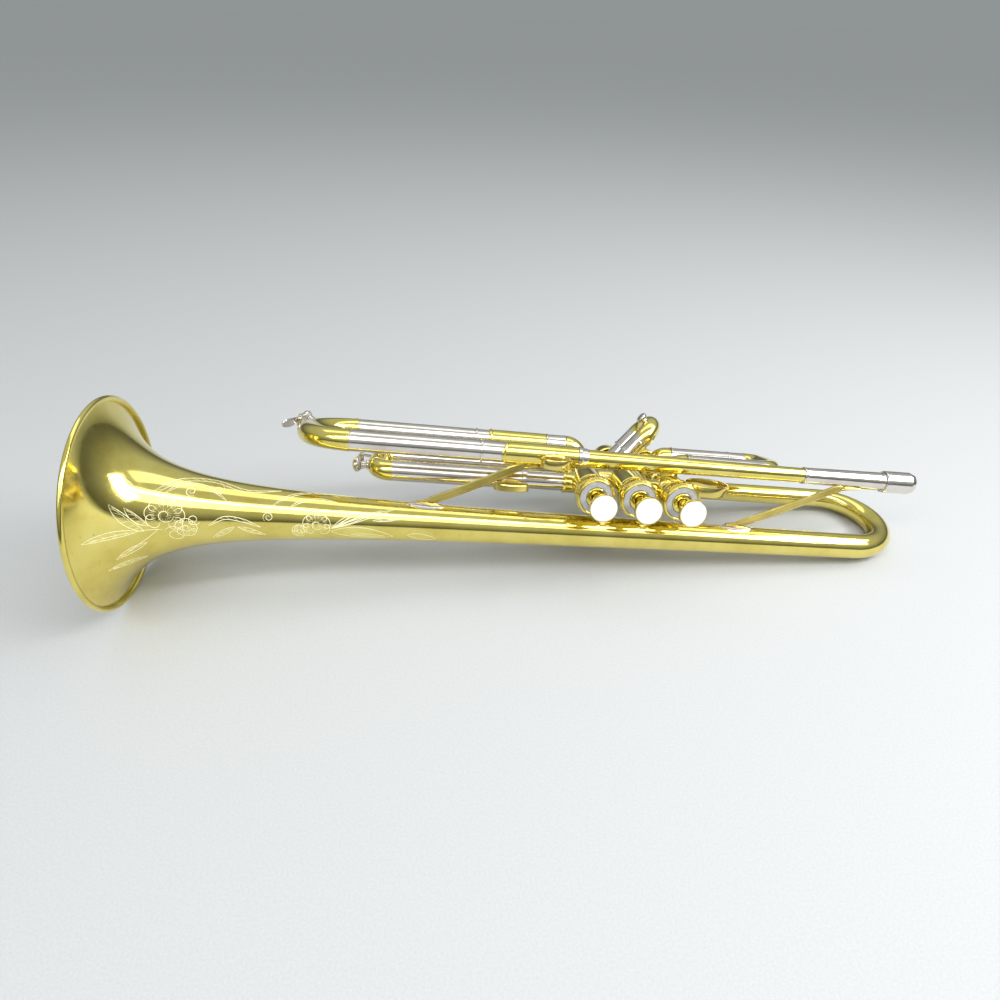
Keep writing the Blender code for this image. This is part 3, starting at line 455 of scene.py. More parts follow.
def loop_band(centre, half, wall=1.3 * MM):
    """Oval finger ring filling a box, with its axis along y and rounded edges."""
    section = [(-1.0, 0.6), (-0.8, 1.0), (0.8, 1.0), (1.0, 0.6)]
    section += [(-a, -b) for a, b in section]
    rings = []
    for angle in np.linspace(0, math.tau, 72, endpoint=False):
        outward = Vector((half.z * math.cos(angle), 0, half.x * math.sin(angle))).normalized()
        path = Vector(((half.x - wall / 2) * math.cos(angle), 0,
                       (half.z - wall / 2) * math.sin(angle)))
        rings.append([centre + path + Y * (a * half.y) + outward * (b * wall / 2)
                      for a, b in section])
    return shell(rings, True)


def bar(path, widths, thickness, normal=Z, channel=0.0):
    """Bar with chamfered edges; a channel sinks the middle of both broad faces."""
    rings = []
    for index, point in enumerate(path):
        heading = path[min(index + 1, len(path) - 1)] - path[max(index - 1, 0)]
        side = normal.cross(heading).normalized()
        up = heading.normalized().cross(side)
        half = widths[index] / 2.0
        rise = thickness / 2.0
        cut = min(0.7 * rise, 0.6 * half)
        flat = half - cut
        face = [(-flat, rise), (flat, rise)]
        if channel:
            floor = rise - min(channel, 0.3 * half)
            face[1:1] = [(-0.66 * flat, rise), (-0.5 * flat, floor), (0.5 * flat, floor),
                         (0.66 * flat, rise)]
        outline = [(-half, -rise + cut), (-half, rise - cut)] + face
        outline += [(-a, -b) for a, b in outline]
        rings.append([point + side * a + up * b for a, b in outline])
    return shell(rings)


def curve(points, steps=10):
    """Smooth path through points."""
    points = [Vector(p) for p in points]
    points = [points[0]] + points + [points[-1]]
    path = []
    for a, b, c, d in zip(points, points[1:], points[2:], points[3:]):
        for step in range(steps):
            t = step / steps
            path.append(0.5 * ((2 * b) + (c - a) * t + (2 * a - 5 * b + 4 * c - d) * t * t
                               + (3 * b - a - 3 * c + d) * t ** 3))
    path.append(points[-1])
    return path


# ---- bell
BELL_RADIUS = 60.5 * MM
BEAD_RADIUS = 1.5 * MM
TAIL_RADIUS = 7.5 * MM
TUBE_TAPER = 2.9 * MM
FLARE_LENGTH = 31 * MM
FLARE_POWER = 1.64
BELL_WALL = 0.5 * MM
BELL_START = 1 * MM
BOW_X = 454.9 * MM
LOWER_LEG = Vector((0.0, 14.5 * MM, -58.3 * MM))
RUN_IN_X = 352 * MM
RUN_IN_BEND = 22 * MM
RUN_IN_DEGREES = 30.2
BOW_END_RADIUS = 6.36 * MM


def bell_radius(x):
    fall = (FLARE_LENGTH / (x + FLARE_LENGTH)) ** FLARE_POWER
    taper = TUBE_TAPER * (1.0 - x / BOW_X)
    return TAIL_RADIUS + (BELL_RADIUS - TAIL_RADIUS - TUBE_TAPER) * fall + taper


def bell_slope(x):
    step = 0.05 * MM
    return (bell_radius(x + step) - bell_radius(x - step)) / (2 * step)


def bell_axis(x):
    return Vector((x, 0.0, 0.0))


def valve_hub(index):
    return box_middle("casing_%d" % index)


def make_bell():
    count = 112
    outside = []
    inside = []
    for x in BELL_START + (BOW_X - BELL_START) * np.linspace(0, 1, 101) ** 2.2:
        slope = bell_slope(x)
        length = math.hypot(1.0, slope)
        radius = bell_radius(x)
        outside.append(circle(bell_axis(x), X, radius, count, Y))
        inside.append(circle(bell_axis(x + slope / length * BELL_WALL), X,
                             radius - BELL_WALL / length, count, Y))
    bow = half_turn(bell_axis(BOW_X), X, LOWER_LEG, 64)[1:]
    run_in = arc(bell_axis(RUN_IN_X) + LOWER_LEG, -X, Y, RUN_IN_BEND, RUN_IN_DEGREES, 8)
    for index, (centre, heading) in enumerate(bow + run_in):
        share = min(1.0, (index + 1) / len(bow))
        radius = bell_radius(BOW_X) * (1.0 - share) + BOW_END_RADIUS * share
        outside.append(circle(centre, heading, radius, count, Y))
        inside.append(circle(centre, heading, radius - BELL_WALL, count, Y))
    end, inward = run_in[-1]
    outside += foot_rings(end, inward, BOW_END_RADIUS, valve_hub(1), Y, count)
    piece("bell_shell", [shell(outside + inside[::-1], True)], BRASS, "bell")
    angles = np.linspace(0.0, math.tau, 20, endpoint=False)
    wire = np.stack([BEAD_RADIUS * (1.0 + np.sin(angles)),
                     BELL_RADIUS - BEAD_RADIUS + BEAD_RADIUS * np.cos(angles)], axis=1)
    piece("bell_rim_wire", [lathe(wire / MM, (0, 0, 0), X, 160, 0.0)], BRASS, "bell_rim_bead")


# ---- engraving
ENGRAVING_FACE = math.radians(75.0)
STATIONS = np.linspace(0.5 * MM, 200 * MM, 1600)
SLANT = np.array([math.hypot(1.0, bell_slope(x)) for x in STATIONS])
ALONG = np.concatenate([[0.0], np.cumsum(SLANT[1:] * np.diff(STATIONS))])
RIDGE = 0.07 * MM
SUNK = -0.03 * MM

# Places on the bell are (mm from its mouth, degrees round it).
# Leaves: base, tip, bulge above and below in mm, veins, wriggle of the edge.
LEAVES = [((24.5, 97), (5.2, 95), 2.6, 1.4, 5), ((27, 113), (13.5, 120), 1.7, 1.5, 4),
          ((24.5, 137), (9.5, 126), 1.9, 1.6, 5), ((27, 98), (14, 70), 1.4, 3.6, 7),
          ((29, 92), (19.5, 72), 1.0, 2.8, 6), ((25, 60), (17, 44), 1.5, 1.5, 4),
          ((70, 100), (58, 124), 1.6, 1.3, 4), ((72, 100), (86, 122), 1.3, 1.6, 4),
          ((122, 109), (157, 121), 3.1, 4.6, 0, 0.16), ((133, 118), (152, 121), 0.8, 1.0, 0, 0.0),
          ((165, 114), (182, 127), 2.0, 2.6, 0, 0.1), ((145, 74), (160, 66), 0.9, 0.9, 3, 0.0)]
LEAVES += [((122, 100), tip, 0.9, 0.9, 0, 0.0)
           for tip in ((133, 60), (141, 52), (150, 44), (158, 36))]
# Flowers: centre, radius in mm, first and last petal's angle, petals.
FLOWERS = [((36.5, 80), 10.5, 150, 400, 7), ((46, 99), 6.6, -150, 120, 5),
           ((114, 92), 8.6, 150, 390, 6), ((104.5, 110), 5, 90, 330, 5)]
# Curls: centre, radius in mm, first angle, turns.
CURLS = [((40.5, 108), 5.4, 200, 1.6), ((50, 86), 3.4, 20, 1.4),
         ((48, 42), 3, 60, 1.5), ((61, 30), 3.2, -60, 1.5),
         ((88, 78), 3, 130, 1.6)]
# Scrolls: places along the spine, width in mm, barbs.
SCROLLS = [([(27, 64), (33, 46), (43, 21), (58, 7), (75, 21), (93, 8)], 2.7, 18),
           ([(36, 52), (42, 38), (50, 30), (58, 36), (66, 52)], -1.7, 9),
           ([(57, 96), (65, 80), (75, 84), (84, 100)], 1.9, 8),
           ([(90, 52), (96, 28), (106, 2), (119, -8), (134, -6)], 1.8, 12),
           ([(98, 60), (105, 40), (115, 28), (126, 34)], -1.5, 8)]
# Stems: places that bend the line, wriggle of the line.
STEMS = [([(24.5, 97), (29, 96), (35, 99)], 0.1), ([(33, 98), (28, 108), (19, 117)], 0.0)]


def chart(place):
    """Flat position in mm of a place on the bell."""
    x, degrees = place
    arc_length = (math.radians(degrees) - ENGRAVING_FACE) * bell_radius(x * MM)
    return Vector((np.interp(x * MM, STATIONS, ALONG), arc_length)) / MM


def on_bell(point, lift):
    """Point for a flat position, raised off the bell's outside by lift."""
    x = float(np.interp(point.x * MM, ALONG, STATIONS))
    radius = bell_radius(x)
    angle = ENGRAVING_FACE + point.y * MM / radius
    slope = bell_slope(x)
    length = math.hypot(1.0, slope)
    out = radius + lift / length
    return Vector((x - lift * slope / length, out * math.cos(angle), out * math.sin(angle)))


def ray(degrees, reach):
    """Flat offset of a given length in a direction."""
    angle = math.radians(degrees)
    return Vector((math.cos(angle), math.sin(angle))) * reach


def cut_line(points, width=0.5, wriggle=0.0):
    """A cut line as a thin closed ridge on the bell; wriggle makes the rocking-graver edge."""
    lengths = [0.0]
    for a, b in zip(points, points[1:]):
        lengths.append(lengths[-1] + (b - a).length)
    count = max(4, int(lengths[-1] / (0.45 if wriggle else 0.8)))
    marks = np.linspace(0, lengths[-1], count + 1)
    spots = list(zip(np.interp(marks, lengths, [p.x for p in points]),
                     np.interp(marks, lengths, [p.y for p in points])))
    rings = []
    for k, spot in enumerate(spots):
        heading = Vector(spots[min(k + 1, count)]) - Vector(spots[max(k - 1, 0)])
        side = Vector((-heading.y, heading.x)).normalized()
        here = Vector(spot) + side * wriggle * (1 if k % 2 else -1)
        half = side * width / 2.0 * (0.35 + 0.65 * min(1.0, 4.0 * min(k, count - k) / count))
        rings.append([on_bell(here + half, SUNK), on_bell(here, RIDGE), on_bell(here - half, SUNK)])
    return shell(rings)


def bezier(points):
    """Points of a Bezier curve of any degree."""
    result = []
    for t in np.linspace(0, 1, 25):
        level = points
        while len(level) > 1:
            level = [a.lerp(b, t) for a, b in zip(level, level[1:])]
        result.append(level[0])
    return result


def leaf(base, tip, above_spine, below_spine, veins, wriggle=0.12):
    """Pointed leaf between two flat positions, with side veins."""
    run = tip - base
    side = Vector((-run.y, run.x)).normalized()
    edges = [bezier([base, base + run * 0.3 + side * bulge * 1.5, base + run * 0.75 + side * bulge,
                     tip]) for bulge in (above_spine, -below_spine)]
    lines = [cut_line(edge, wriggle=wriggle) for edge in edges]
    if veins:
        lines.append(cut_line(bezier([base, base + run * 0.5 + side * 0.4, tip - run * 0.12]), 0.26))
    for k in range(1, veins):
        share = k / veins
        root = base + run * share * 0.9
        for edge in edges:
            end = edge[int(len(edge) * min(0.96, share + 0.1)) - 1]
            lines.append(cut_line([root, root.lerp(end, 0.5), root.lerp(end, 0.85)], 0.2))
    return lines


def curl(centre, radius, start, turns):
    """Curl that winds in to its centre."""
    steps = turns * 26
    return cut_line([centre + ray(start + 360 * k / 26, radius * (1 - 0.8 * k / steps))
                     for k in range(int(steps) + 1)])


def petal(centre, angle, near, far, spread):
    """Rounded petal with shading cuts inside."""
    corners = ((-1.0, near), (-1.5, far), (-0.5, far * 1.25), (0.5, far * 1.25), (1.5, far),
               (1.0, near))
    lines = [cut_line(bezier([centre + ray(angle + spread * turn, reach)
                              for turn, reach in corners]))]
    for k in (-2, -1, 0, 1, 2):
        turn = angle + spread * k * 0.42
        lines.append(cut_line([centre + ray(turn, near * 1.15),
                               centre + ray(turn, far * (0.78 - 0.05 * abs(k)))], 0.2))
    return lines


def flower(centre, radius, start, end, petals):
    """Open flower: petals round a shaded heart."""
    lines = [curl(centre, radius * 0.42, 0.0, 1.2)]
    for angle in np.linspace(start, end, petals):
        lines += petal(centre, angle, radius * 0.42, radius * 0.92, 200.0 / petals)
    for k in range(18):
        reach = radius * 0.4 * (1.0 if k % 2 else 0.82)
        lines.append(cut_line([centre + ray(20.0 * k, radius * 0.16), centre + ray(20.0 * k, reach)],
                              0.2))
    return lines


def scroll_leaf(places, width, barbs):
    """Long curling leaf: two nearly parallel lines with barbs between."""
    spine = [p.xy for p in curve([(*chart(place), 0.0) for place in places], 12)]
    last = len(spine) - 1
    upper = []
    for index, point in enumerate(spine):
        heading = spine[min(index + 1, last)] - spine[max(index - 1, 0)]
        bulge = width * math.sin(math.pi * index / last) ** 0.7
        upper.append(point + Vector((-heading.y, heading.x)).normalized() * bulge)
    lines = [cut_line(spine), cut_line(upper, wriggle=0.08)]
    for k in range(1, barbs):
        index = int(len(spine) * k / barbs)
        forward = min(index + 3, last)
        lines.append(cut_line([spine[index], upper[forward].lerp(spine[forward], 0.15)], 0.2))
    return lines


def make_engraving():
    lines = []
    for base, tip, *shape in LEAVES:
        lines += leaf(chart(base), chart(tip), *shape)
    for centre, *shape in FLOWERS:
        lines += flower(chart(centre), *shape)
    for centre, *shape in CURLS:
        lines.append(curl(chart(centre), *shape))
    for places, width, barbs in SCROLLS:
        lines += scroll_leaf(places, width, barbs)
    for places, wriggle in STEMS:
        lines.append(cut_line(bezier([chart(place) for place in places]), wriggle=wriggle))
    piece("bell_engraving", lines, CUT_GLINT, sharp=20.0)


# ---- tubes of the leadpipe side
BRASS_TUBE_RADIUS = 6.45 * MM
LEG_RADIUS = 5.55 * MM
INNER_RADIUS = 5.45 * MM
SLEEVE_RING_X = 205 * MM
ENTRY_BEND = 10.6 * MM


def on_lead(node, soft, outline, side="upper", count=64):
    """Tube on a leadpipe line, as long as a node; outline gives its points for that length."""
    start = low(node).x
    length = (high(node).x - start) / MM
    return [lathe(outline(length), lead_point(start, side), LEAD, count, soft)]


def make_leadpipe():
    shown = on_lead("leadpipe_ferrule", 0.25, lambda length: [
        (0, 5.9), (0, 6.75), (2.3, 6.75), (2.7, 6.15), (5.2, 6.0), (5.4, 5.75), (6.2, 5.7),
        (6.2, 5.0), (3.0, 4.8)])
    piece("leadpipe_ferrule_ring", shown, NICKEL, "leadpipe_ferrule")
    shown = tube(lead_point(high("leadpipe_ferrule").x - MM), lead_point(high("leadpipe").x + MM),
                 5.4 * MM, 4.2 * MM, 64, 4.7 * MM)
    piece("leadpipe_tube", [shown], BRASS, "leadpipe")
    shown = on_lead("mouthpiece_receiver", 0.3, lambda length: [
        (0, 4.75), (0, 5.15), (0.5, 5.35), (1.4, 5.35), (1.8, 5.15),
        *above(length, (-24.2, 5.75), (-23.6, 5.75), (-23.3, 5.4), (-20.6, 5.4), (-20.3, 6.7),
               (-19.0, 6.95), (-18.4, 6.8), (-17.9, 6.95), (-3.4, 7.05), (-2.9, 7.05), (0, 6.15),
               (0, 4.95), (-22.0, 4.6))], count=80)
    piece("mouthpiece_receiver_tube", shown, NICKEL, "mouthpiece_receiver")


def tongued(surface, base, axis, facing, depth=3 * MM, reach=9 * MM):
    """Draw a tube's end back at its sides, so that it starts in a round tongue."""
    points, faces = surface
    offset = points - np.array(base)
    along = offset @ np.array(axis)
    spokes = offset - np.outer(along, axis)
    spokes /= np.linalg.norm(spokes, axis=1)[:, None]
    aside = 1.0 - (spokes @ np.array(facing)) ** 2
    fade = np.clip(1.0 - along / reach, 0.0, 1.0)
    return points + np.outer(depth * aside * fade, axis), faces


def make_outer_tubes():
    for side in LEAD_SIDES:
        sleeve = side + "_outer_sleeve"
        ring = (SLEEVE_RING_X - low(sleeve).x) / MM
        shown = on_lead(sleeve, 0.12, lambda length: [
            (0, 5.85), (0, 6.35), (0.5, 6.35), (0.6, 6.2),
            *above(ring, (-0.6, 6.2), (-0.5, 5.95), (0, 5.95), (0.1, 6.75), (1.2, 6.75),
                   (1.4, 6.15)), (length + 5, 6.15), (length + 5, 5.85)], side)
        piece(side + "_slide_sleeve", shown, NICKEL, sleeve)
        barrel = side + "_outer_tube"
        shown = on_lead(barrel, 0.25, lambda length: [
            (0, 6.2), (0.1, 6.6), (0.6, 6.95), (1.5, 6.95), (2.2, 6.5), (3.0, 6.6),
            (length, 6.6), (length, 6.2)], side)
        if side == "upper":
            shown = [tongued(shown[0], lead_point(low(barrel).x), LEAD, Z)]
        piece(side + "_slide_tube", shown, BRASS, barrel)
    shown = on_lead("lower_ferrule", 0.15, lambda length: [
        (0, 5.9), (0, 6.5), (0.4, 6.7), (1.2, 6.7), (1.5, 6.4),
        *above(length, (-1.5, 6.4), (-1.2, 6.6), (-0.3, 6.6), (0, 6.4), (0, 5.9))], "lower")
    piece("lower_ferrule_ring", shown, NICKEL, "lower_ferrule")
    path = arc(lead_point(low("valve_entry_bend").x, "lower"), LEAD, -Y, ENTRY_BEND, 90, 18)
    shown = rooted(path, BRASS_TUBE_RADIUS, path[-1][0], -Y, valve_hub(3))
    piece("valve_entry_elbow", [shown], BRASS, "valve_entry_bend")


def make_tuning_slide():
    body = "tuning_slide"
    joint_x = high("tuning_crook").x
    path = half_turn(lead_point(joint_x), -LEAD, LOWER_OFFSET, 56)
    piece("tuning_bow", [shell(rings_along(path, 6.32 * MM, Y, 64))], BRASS, "tuning_crook", body)
    collar = [(-2.4, 5.6), (-2.4, 6.45), (-0.05, 6.45), (-0.05, 5.6)]
    for side in LEAD_SIDES:
        node = "tuning_leg_" + side
        leg = tube(lead_point(joint_x - 0.5 * MM, side), lead_point(high(node).x, side), LEG_RADIUS,
                   5.1 * MM)
        piece("tuning_inner_" + side, [leg], NICKEL, node, body)
        piece("tuning_collar_" + side, [lathe(collar, lead_point(joint_x, side), LEAD, 48, 0.15)],
              BRASS, body=body)


# ---- valve slides
CROOK_BEND = 9 * MM
CROOK_RADIUS = 6.2 * MM
SLIDE_RADIUS = 6.1 * MM
THIRD_LINE_INSET = 6.7 * MM
THIRD_COLLAR = [(0.0, 5.6), (0.0, 6.5), (0.4, 6.75), (1.6, 6.75), (1.9, 6.4)]
ELBOW_BEND = 8 * MM
ELBOW_RADIUS = 6.05 * MM
SECOND_ROOT = (-5.5 * MM, -42 * MM)
SECOND_SEPARATION = (2 * MM, -20 * MM)
SECOND_SLEEVE = 13.5 * MM
SECOND_JOINT = 27.5 * MM


def slide_sleeve(start, end, ring, lip):
    """Moving sleeve from its crook to its open end, with a ring line and a lip."""
    length = (end - start).length / MM
    outline = [(0, 5.8), (0, 6.1)]
    outline += above(ring, (-0.5, 6.1), (-0.35, 5.95), (0, 5.95), (0.1, 6.35), (0.8, 6.35),
                     (0.9, 6.1))
    outline += above(length, (-lip - 0.2, 6.1), (-lip, 6.65), (0, 6.65), (0, 5.8))
    return lathe(outline, start, end - start, 56, 0.12)


def make_square_slide(name, at, joint_x, open_x, heading, rings, lip, stem):
    """Square crook with its two sleeves, and the fixed inner tubes that they slide on."""
    body = name + "_slide"
    start = at(joint_x, "upper")
    path = square_turn(start, heading, at(joint_x, "lower") - start, CROOK_BEND)
    piece(body + "_crook", [shell(rings_along(path, CROOK_RADIUS, Y))], BRASS, body, body)
    for side, ring in zip(("upper", "lower"), rings):
        sleeve = slide_sleeve(at(joint_x, side), at(open_x, side), ring, lip)
        piece(name + "_sleeve_" + side, [sleeve], NICKEL, body, body)
        inner = tube(at(stem[0], side), at(stem[1], side), INNER_RADIUS)
        piece(name + "_inner_tube_" + side, [inner], NICKEL, name + "_inner_" + side)


def make_third_slide():
    hub = valve_hub(3)
    bottom = low("third_slide")
    top = high("third_slide")
    collar_x = hub.x - CASING_RADIUS - 5.6 * MM
    heights = {"upper": top.z - THIRD_LINE_INSET, "lower": bottom.z + THIRD_LINE_INSET}

    def at(x, side):
        return Vector((x, (bottom.y + top.y) / 2.0, heights[side]))

    make_square_slide("third", at, bottom.x + CROOK_BEND + SLIDE_RADIUS, top.x, -X, (3.0, 3.0), 2.9,
                      (low("third_inner_upper").x, collar_x + 1 * MM))
    for side in heights:
        rings = [circle(at(collar_x + ahead * MM, side), X, radius * MM, 56, Z)
                 for ahead, radius in THIRD_COLLAR]
        rings += foot_rings(at(hub.x, side), X, THIRD_COLLAR[-1][1] * MM, hub)
        piece("third_collar_" + side, [shell(rings)], BRASS, "third_inner_" + side)


def make_first_slide():
    hub = valve_hub(1)
    sleeve_x = low("first_slide").x

    def at(x, side):
        inner = "first_inner_" + side
        return Vector((x, high(inner).y - INNER_RADIUS, box_middle(inner).z))

    make_square_slide("first", at, high("first_slide").x - CROOK_BEND - SLIDE_RADIUS, sleeve_x, X,
                      (49.0, 11.0), 0.9, (sleeve_x - 1.2 * MM, high("first_inner_upper").x))
    for side in ("upper", "lower"):
        path = [(at(sleeve_x - 0.6 * MM, side), -X)]
        path += arc(at(hub.x + ELBOW_BEND, side), -X, -Y, ELBOW_BEND, 90, 14)
        elbow = rooted(path, ELBOW_RADIUS, path[-1][0], -Y, hub)
        piece("first_elbow_" + side, [elbow], BRASS, "first_inner_" + side)


def make_second_slide():
    body = "second_slide"
    hub = valve_hub(2)
    hub.z = 0.0
    upper = hub + SECOND_SIDE * SECOND_ROOT[0] + Z * SECOND_ROOT[1]
    across = SECOND_SIDE * SECOND_SEPARATION[0] + Z * SECOND_SEPARATION[1]
    start = upper + SECOND * SECOND_JOINT
    path = half_turn(start, SECOND, across, 40)
    crook = shell(rings_along(path, CROOK_RADIUS, SECOND_SIDE))
    piece("second_slide_crook", [crook], BRASS, body, body)
    knob = [(5.0, 0.05), (5.0, 2.9), (6.2, 2.6), (6.7, 2.1), (7.3, 2.1), (7.7, 3.2), (8.1, 3.5),
            (9.7, 3.6), (10.3, 3.1), (10.6, 1.8), (10.7, 0.05)]
    base = start + across / 2.0 + SECOND * (across.length / 2.0 - 0.5 * MM)
    base.z = middle("second_slide_knob").z
    piece("second_slide_pull", [lathe(knob, base, -SECOND_SIDE, 48, 0.5)], NICKEL,
          "second_slide_knob", body)
    for side, root in (("upper", upper), ("lower", upper + across)):
        inner = "second_inner_" + side
        sleeve = slide_sleeve(root + SECOND * SECOND_JOINT, root + SECOND * SECOND_SLEEVE, 2.2, 1.2)
        piece("second_sleeve_" + side, [sleeve], NICKEL, body, body)
        path = [(root + SECOND * (reach - 1 * MM), -SECOND)
                for reach in (SECOND_JOINT, SECOND_SLEEVE)]
        stem = rooted(path, INNER_RADIUS, root, -SECOND, hub)
        piece("second_inner_tube_" + side, [stem], NICKEL, inner)


# ---- valves
SPRING_WIRE = 0.45 * MM
SPRING_TURNS = 6
LINK_RADIUS = 5.9 * MM
KNURL_TEETH = 56
KNURL_POINTS = KNURL_TEETH * 5
KNURL_DEPTH = 0.16 * MM


def knurled(outline, base, bottom, top, radius_from):
    """Turned ring with fine upright teeth between two heights, outside a radius."""
    angles = np.linspace(0, math.tau * KNURL_TEETH, KNURL_POINTS, endpoint=False)
    wave = KNURL_DEPTH * 0.5 * (np.cos(angles) - 1.0)
    rings = []
    for height, radius in softened(outline, 0.22, True, 3):
        carried = wave if bottom <= height <= top and radius > radius_from else wave * 0.0
        rings.append(circle(base + Z * height * MM, Z, radius * MM + carried, KNURL_POINTS, X))
    return shell(rings, True)


def make_valve(index):
    """One valve: casing, caps and felt, and the stem, button and pearl that move."""
    tag = "_%d" % index
    moving = "valve" + tag
    hub = valve_hub(index)
    hub.z = 0.0
    start = low("casing" + tag).z / MM
    rim = high("casing" + tag).z / MM
    cap = high("top_cap" + tag).z / MM - 0.5
    end = low("bottom_cap" + tag).z / MM
    stem = high("piston" + tag).z / MM
    top = high("button" + tag).z / MM

    def turned(name, node, material, count, soft, outline, body=FRAME_BODY):
        shown = lathe(outline, hub, Z, count, soft)
        piece("valve_" + name + tag, [shown], material, node and node + tag, body)

    outline = [(start, 8.8), (start, 9.75), (rim, 9.75), (rim, 8.8)]
    shown = [lathe(outline, hub, Z, 96, 0.15)]
    for level in (start + 12.5, rim - 9.0):
        ring = above(level, (0, 9.6), (0.15, 9.95), (0.75, 9.95), (0.9, 9.6))
        shown.append(lathe(ring, hub, Z, 96, 0.1))
    piece("valve_casing" + tag, shown, BRASS, "casing" + tag)
    outline = [(3.2, 10.1), (3.2, 11.0), (3.7, 11.4), (4.3, 11.4), (4.7, 10.9), (5.3, 10.9),
               (5.7, 11.75)]
    outline += above(cap, (-2.8, 11.75), (-2.4, 11.3), (-2.0, 11.5), (-0.8, 11.2), (-0.1, 10.6),
                     (0, 10.1), (-0.2, 9.75), (-1.6, 9.75), (-1.6, 6.1), (-0.3, 6.0), (0.1, 5.6),
                     (0.25, 4.8), (0.25, 3.3), (0, 3.1))
    outline += above(rim, (1.6, 3.1), (1.6, 8.6), (0.3, 8.6), (0.3, 10.1))
    shown = knurled(outline, hub, 5.9, cap - 2.9, 11.6)
    piece("valve_cap" + tag, [shown], BRASS, "top_cap" + tag)
    outline = above(cap, (-1.5, 6.2), (-1.5, 9.65), (-0.4, 9.65), (-0.4, 6.2))
    turned("felt", "cap_felt", FELT, 72, 0.35, outline)
    outline = above(end, (0, 0.05), (0, 4.9), (0.5, 5.6), (1.0, 6.0), (1.1, 9.3), (1.6, 10.3),
                    (2.8, 11.0), (3.2, 11.3))
    outline += above(start, (3.9, 11.3), (4.5, 11.0), (4.5, 10.1), (-0.3, 10.1), (-0.3, 8.75))
    outline += above(end, (2.2, 8.75), (2.2, 0.05))
    turned("bottom", "bottom_cap", BRASS, 96, 0.3, outline)
    outline = [(6.5, 2.62), (6.5, 2.85)] + above(stem, (-1.6, 2.85), (0.2, 3.6), (0.2, 2.62))
    turned("stem", None, BRASS, 48, 0.2, outline, moving)
    outline = above(top, (-3.9, 0.05), (-3.9, 6.4), (-3.8, 7.6), (-3.3, 8.1), (-0.4, 8.15),
                    (0, 8.0), (0, 7.9), (-1.6, 7.85), (-1.6, 0.05))
    turned("button", "button", BRASS, 80, 0.25, outline, moving)
    outline = above(top, (-1.5, 0.05), (-1.5, 7.8), (-0.3, 7.8), (0, 7.4), (0.1, 4.0),
                    (0.12, 0.05))
    turned("pearl", "pearl", PEARL, 80, 0.3, outline, moving)


def make_spring(index):
    """Coil spring on the bottom cap, under its piston."""
    node = "valve_spring_%d" % index
    centre = box_middle(node)
    centre.z = low(node).z
    length = high(node).z - centre.z
    reach = high(node).x - centre.x - SPRING_WIRE
    path = []
    for share in np.linspace(0.0, 1.0, SPRING_TURNS * 26 + 1):
        angle = math.tau * SPRING_TURNS * share
        rise = SPRING_WIRE + (length - 2.0 * SPRING_WIRE) * share
        spoke = Vector((math.cos(angle), math.sin(angle), 0.0))
        path.append((centre + spoke * reach + Z * rise, Z.cross(spoke)))
    coil = shell(rings_along(path, SPRING_WIRE, Z, 10))
    spring = piece("coil_spring_%d" % index, [coil], STEEL, node, sharp=60.0)
    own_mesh(spring)


def make_knuckles():
    for index in (1, 2):
        tag = "_%d_%d" % (index, index + 1)
        hubs = [valve_hub(index), valve_hub(index + 1)]
        centre = (hubs[0] + hubs[1]) / 2.0
        centre.z = box_middle("knuckle" + tag).z
        shells = [rooted([(centre - inward * 0.1 * MM, inward)], LINK_RADIUS, centre, inward, hub)
                  for hub, inward in zip(hubs, (X, -X))]
        piece("valve_link" + tag, shells, DULL_BRASS, "knuckle" + tag)


# ---- rings, braces, post
def saddle_plate(axis_point, radius_at, start, end, degrees, half_width, thickness):
    """Boat-shaped foot on a tube, facing so many degrees from y towards z; sizes in mm."""
    rings = []
    for u in np.linspace(-1.0, 1.0, 31):
        x = start + (end - start) * (u + 1.0) / 2.0
        radius = radius_at(x)
        reach = half_width * MM * max(1.0 - abs(u) ** 2.2, 0.02) ** 0.6
        raised = []
        sunk = []
        for v in np.linspace(-1.0, 1.0, 9):
            angle = math.radians(degrees) + v * reach / radius
            spoke = Vector((0.0, math.cos(angle), math.sin(angle)))
            lift = thickness * (1.0 - 0.8 * abs(v) ** 4) * max(1.0 - abs(u) ** 6, 0.15)
            raised.append(axis_point(x) + spoke * (radius + lift * MM))
            sunk.append(axis_point(x) + spoke * (radius - 0.25 * MM))
        rings.append(raised + sunk[::-1])
    return shell(rings)


def make_brace(node, name, tube_radius, end_length):
    """Flat brace from the bell to the leadpipe side, with a foot at each end."""
    first = low(node).x
    last = high(node).x
    foot = first + 15 * MM
    turn = last - end_length
    top_y = lead_point(turn).y - tube_radius
    low_y = bell_radius(foot)
    path = curve([(x, y + rise * MM, box_middle(node).z) for x, y, rise in (
        (first + 4 * MM, low_y, 1.2), (first + 10 * MM, low_y, 1.5),
        (foot + 1 * MM, low_y, 3.3), ((foot + turn) / 2.0, (low_y + top_y) / 2.0, 0.7),
        (turn - 3 * MM, top_y, -1.6), (turn + 3.5 * MM, top_y, -0.2),
        (turn + 10 * MM, top_y, 0.1), (last - 1 * MM, top_y, 0.2))])
    widths = np.interp(np.linspace(0.0, 1.0, len(path)),
                       [0.0, 0.14, 0.27, 0.42, 0.58, 0.68, 0.80, 1.0],
                       [0.9, 2.2, 4.8, 5.2, 5.0, 3.2, 1.6, 0.9])
    web = bar(path, widths * MM, 2.2 * MM, channel=0.45 * MM)
    piece(name + "_web", [web], DULL_BRASS, node, sharp=30.0)
    feet = [saddle_plate(bell_axis, bell_radius, first, foot + 7 * MM, 6.0, 4.6, 0.9),
            saddle_plate(lead_point, lambda x: tube_radius, turn + 1 * MM, last, 168.0, 2.8, 0.8)]
    piece(name + "_feet", feet, NICKEL, node, sharp=30.0)


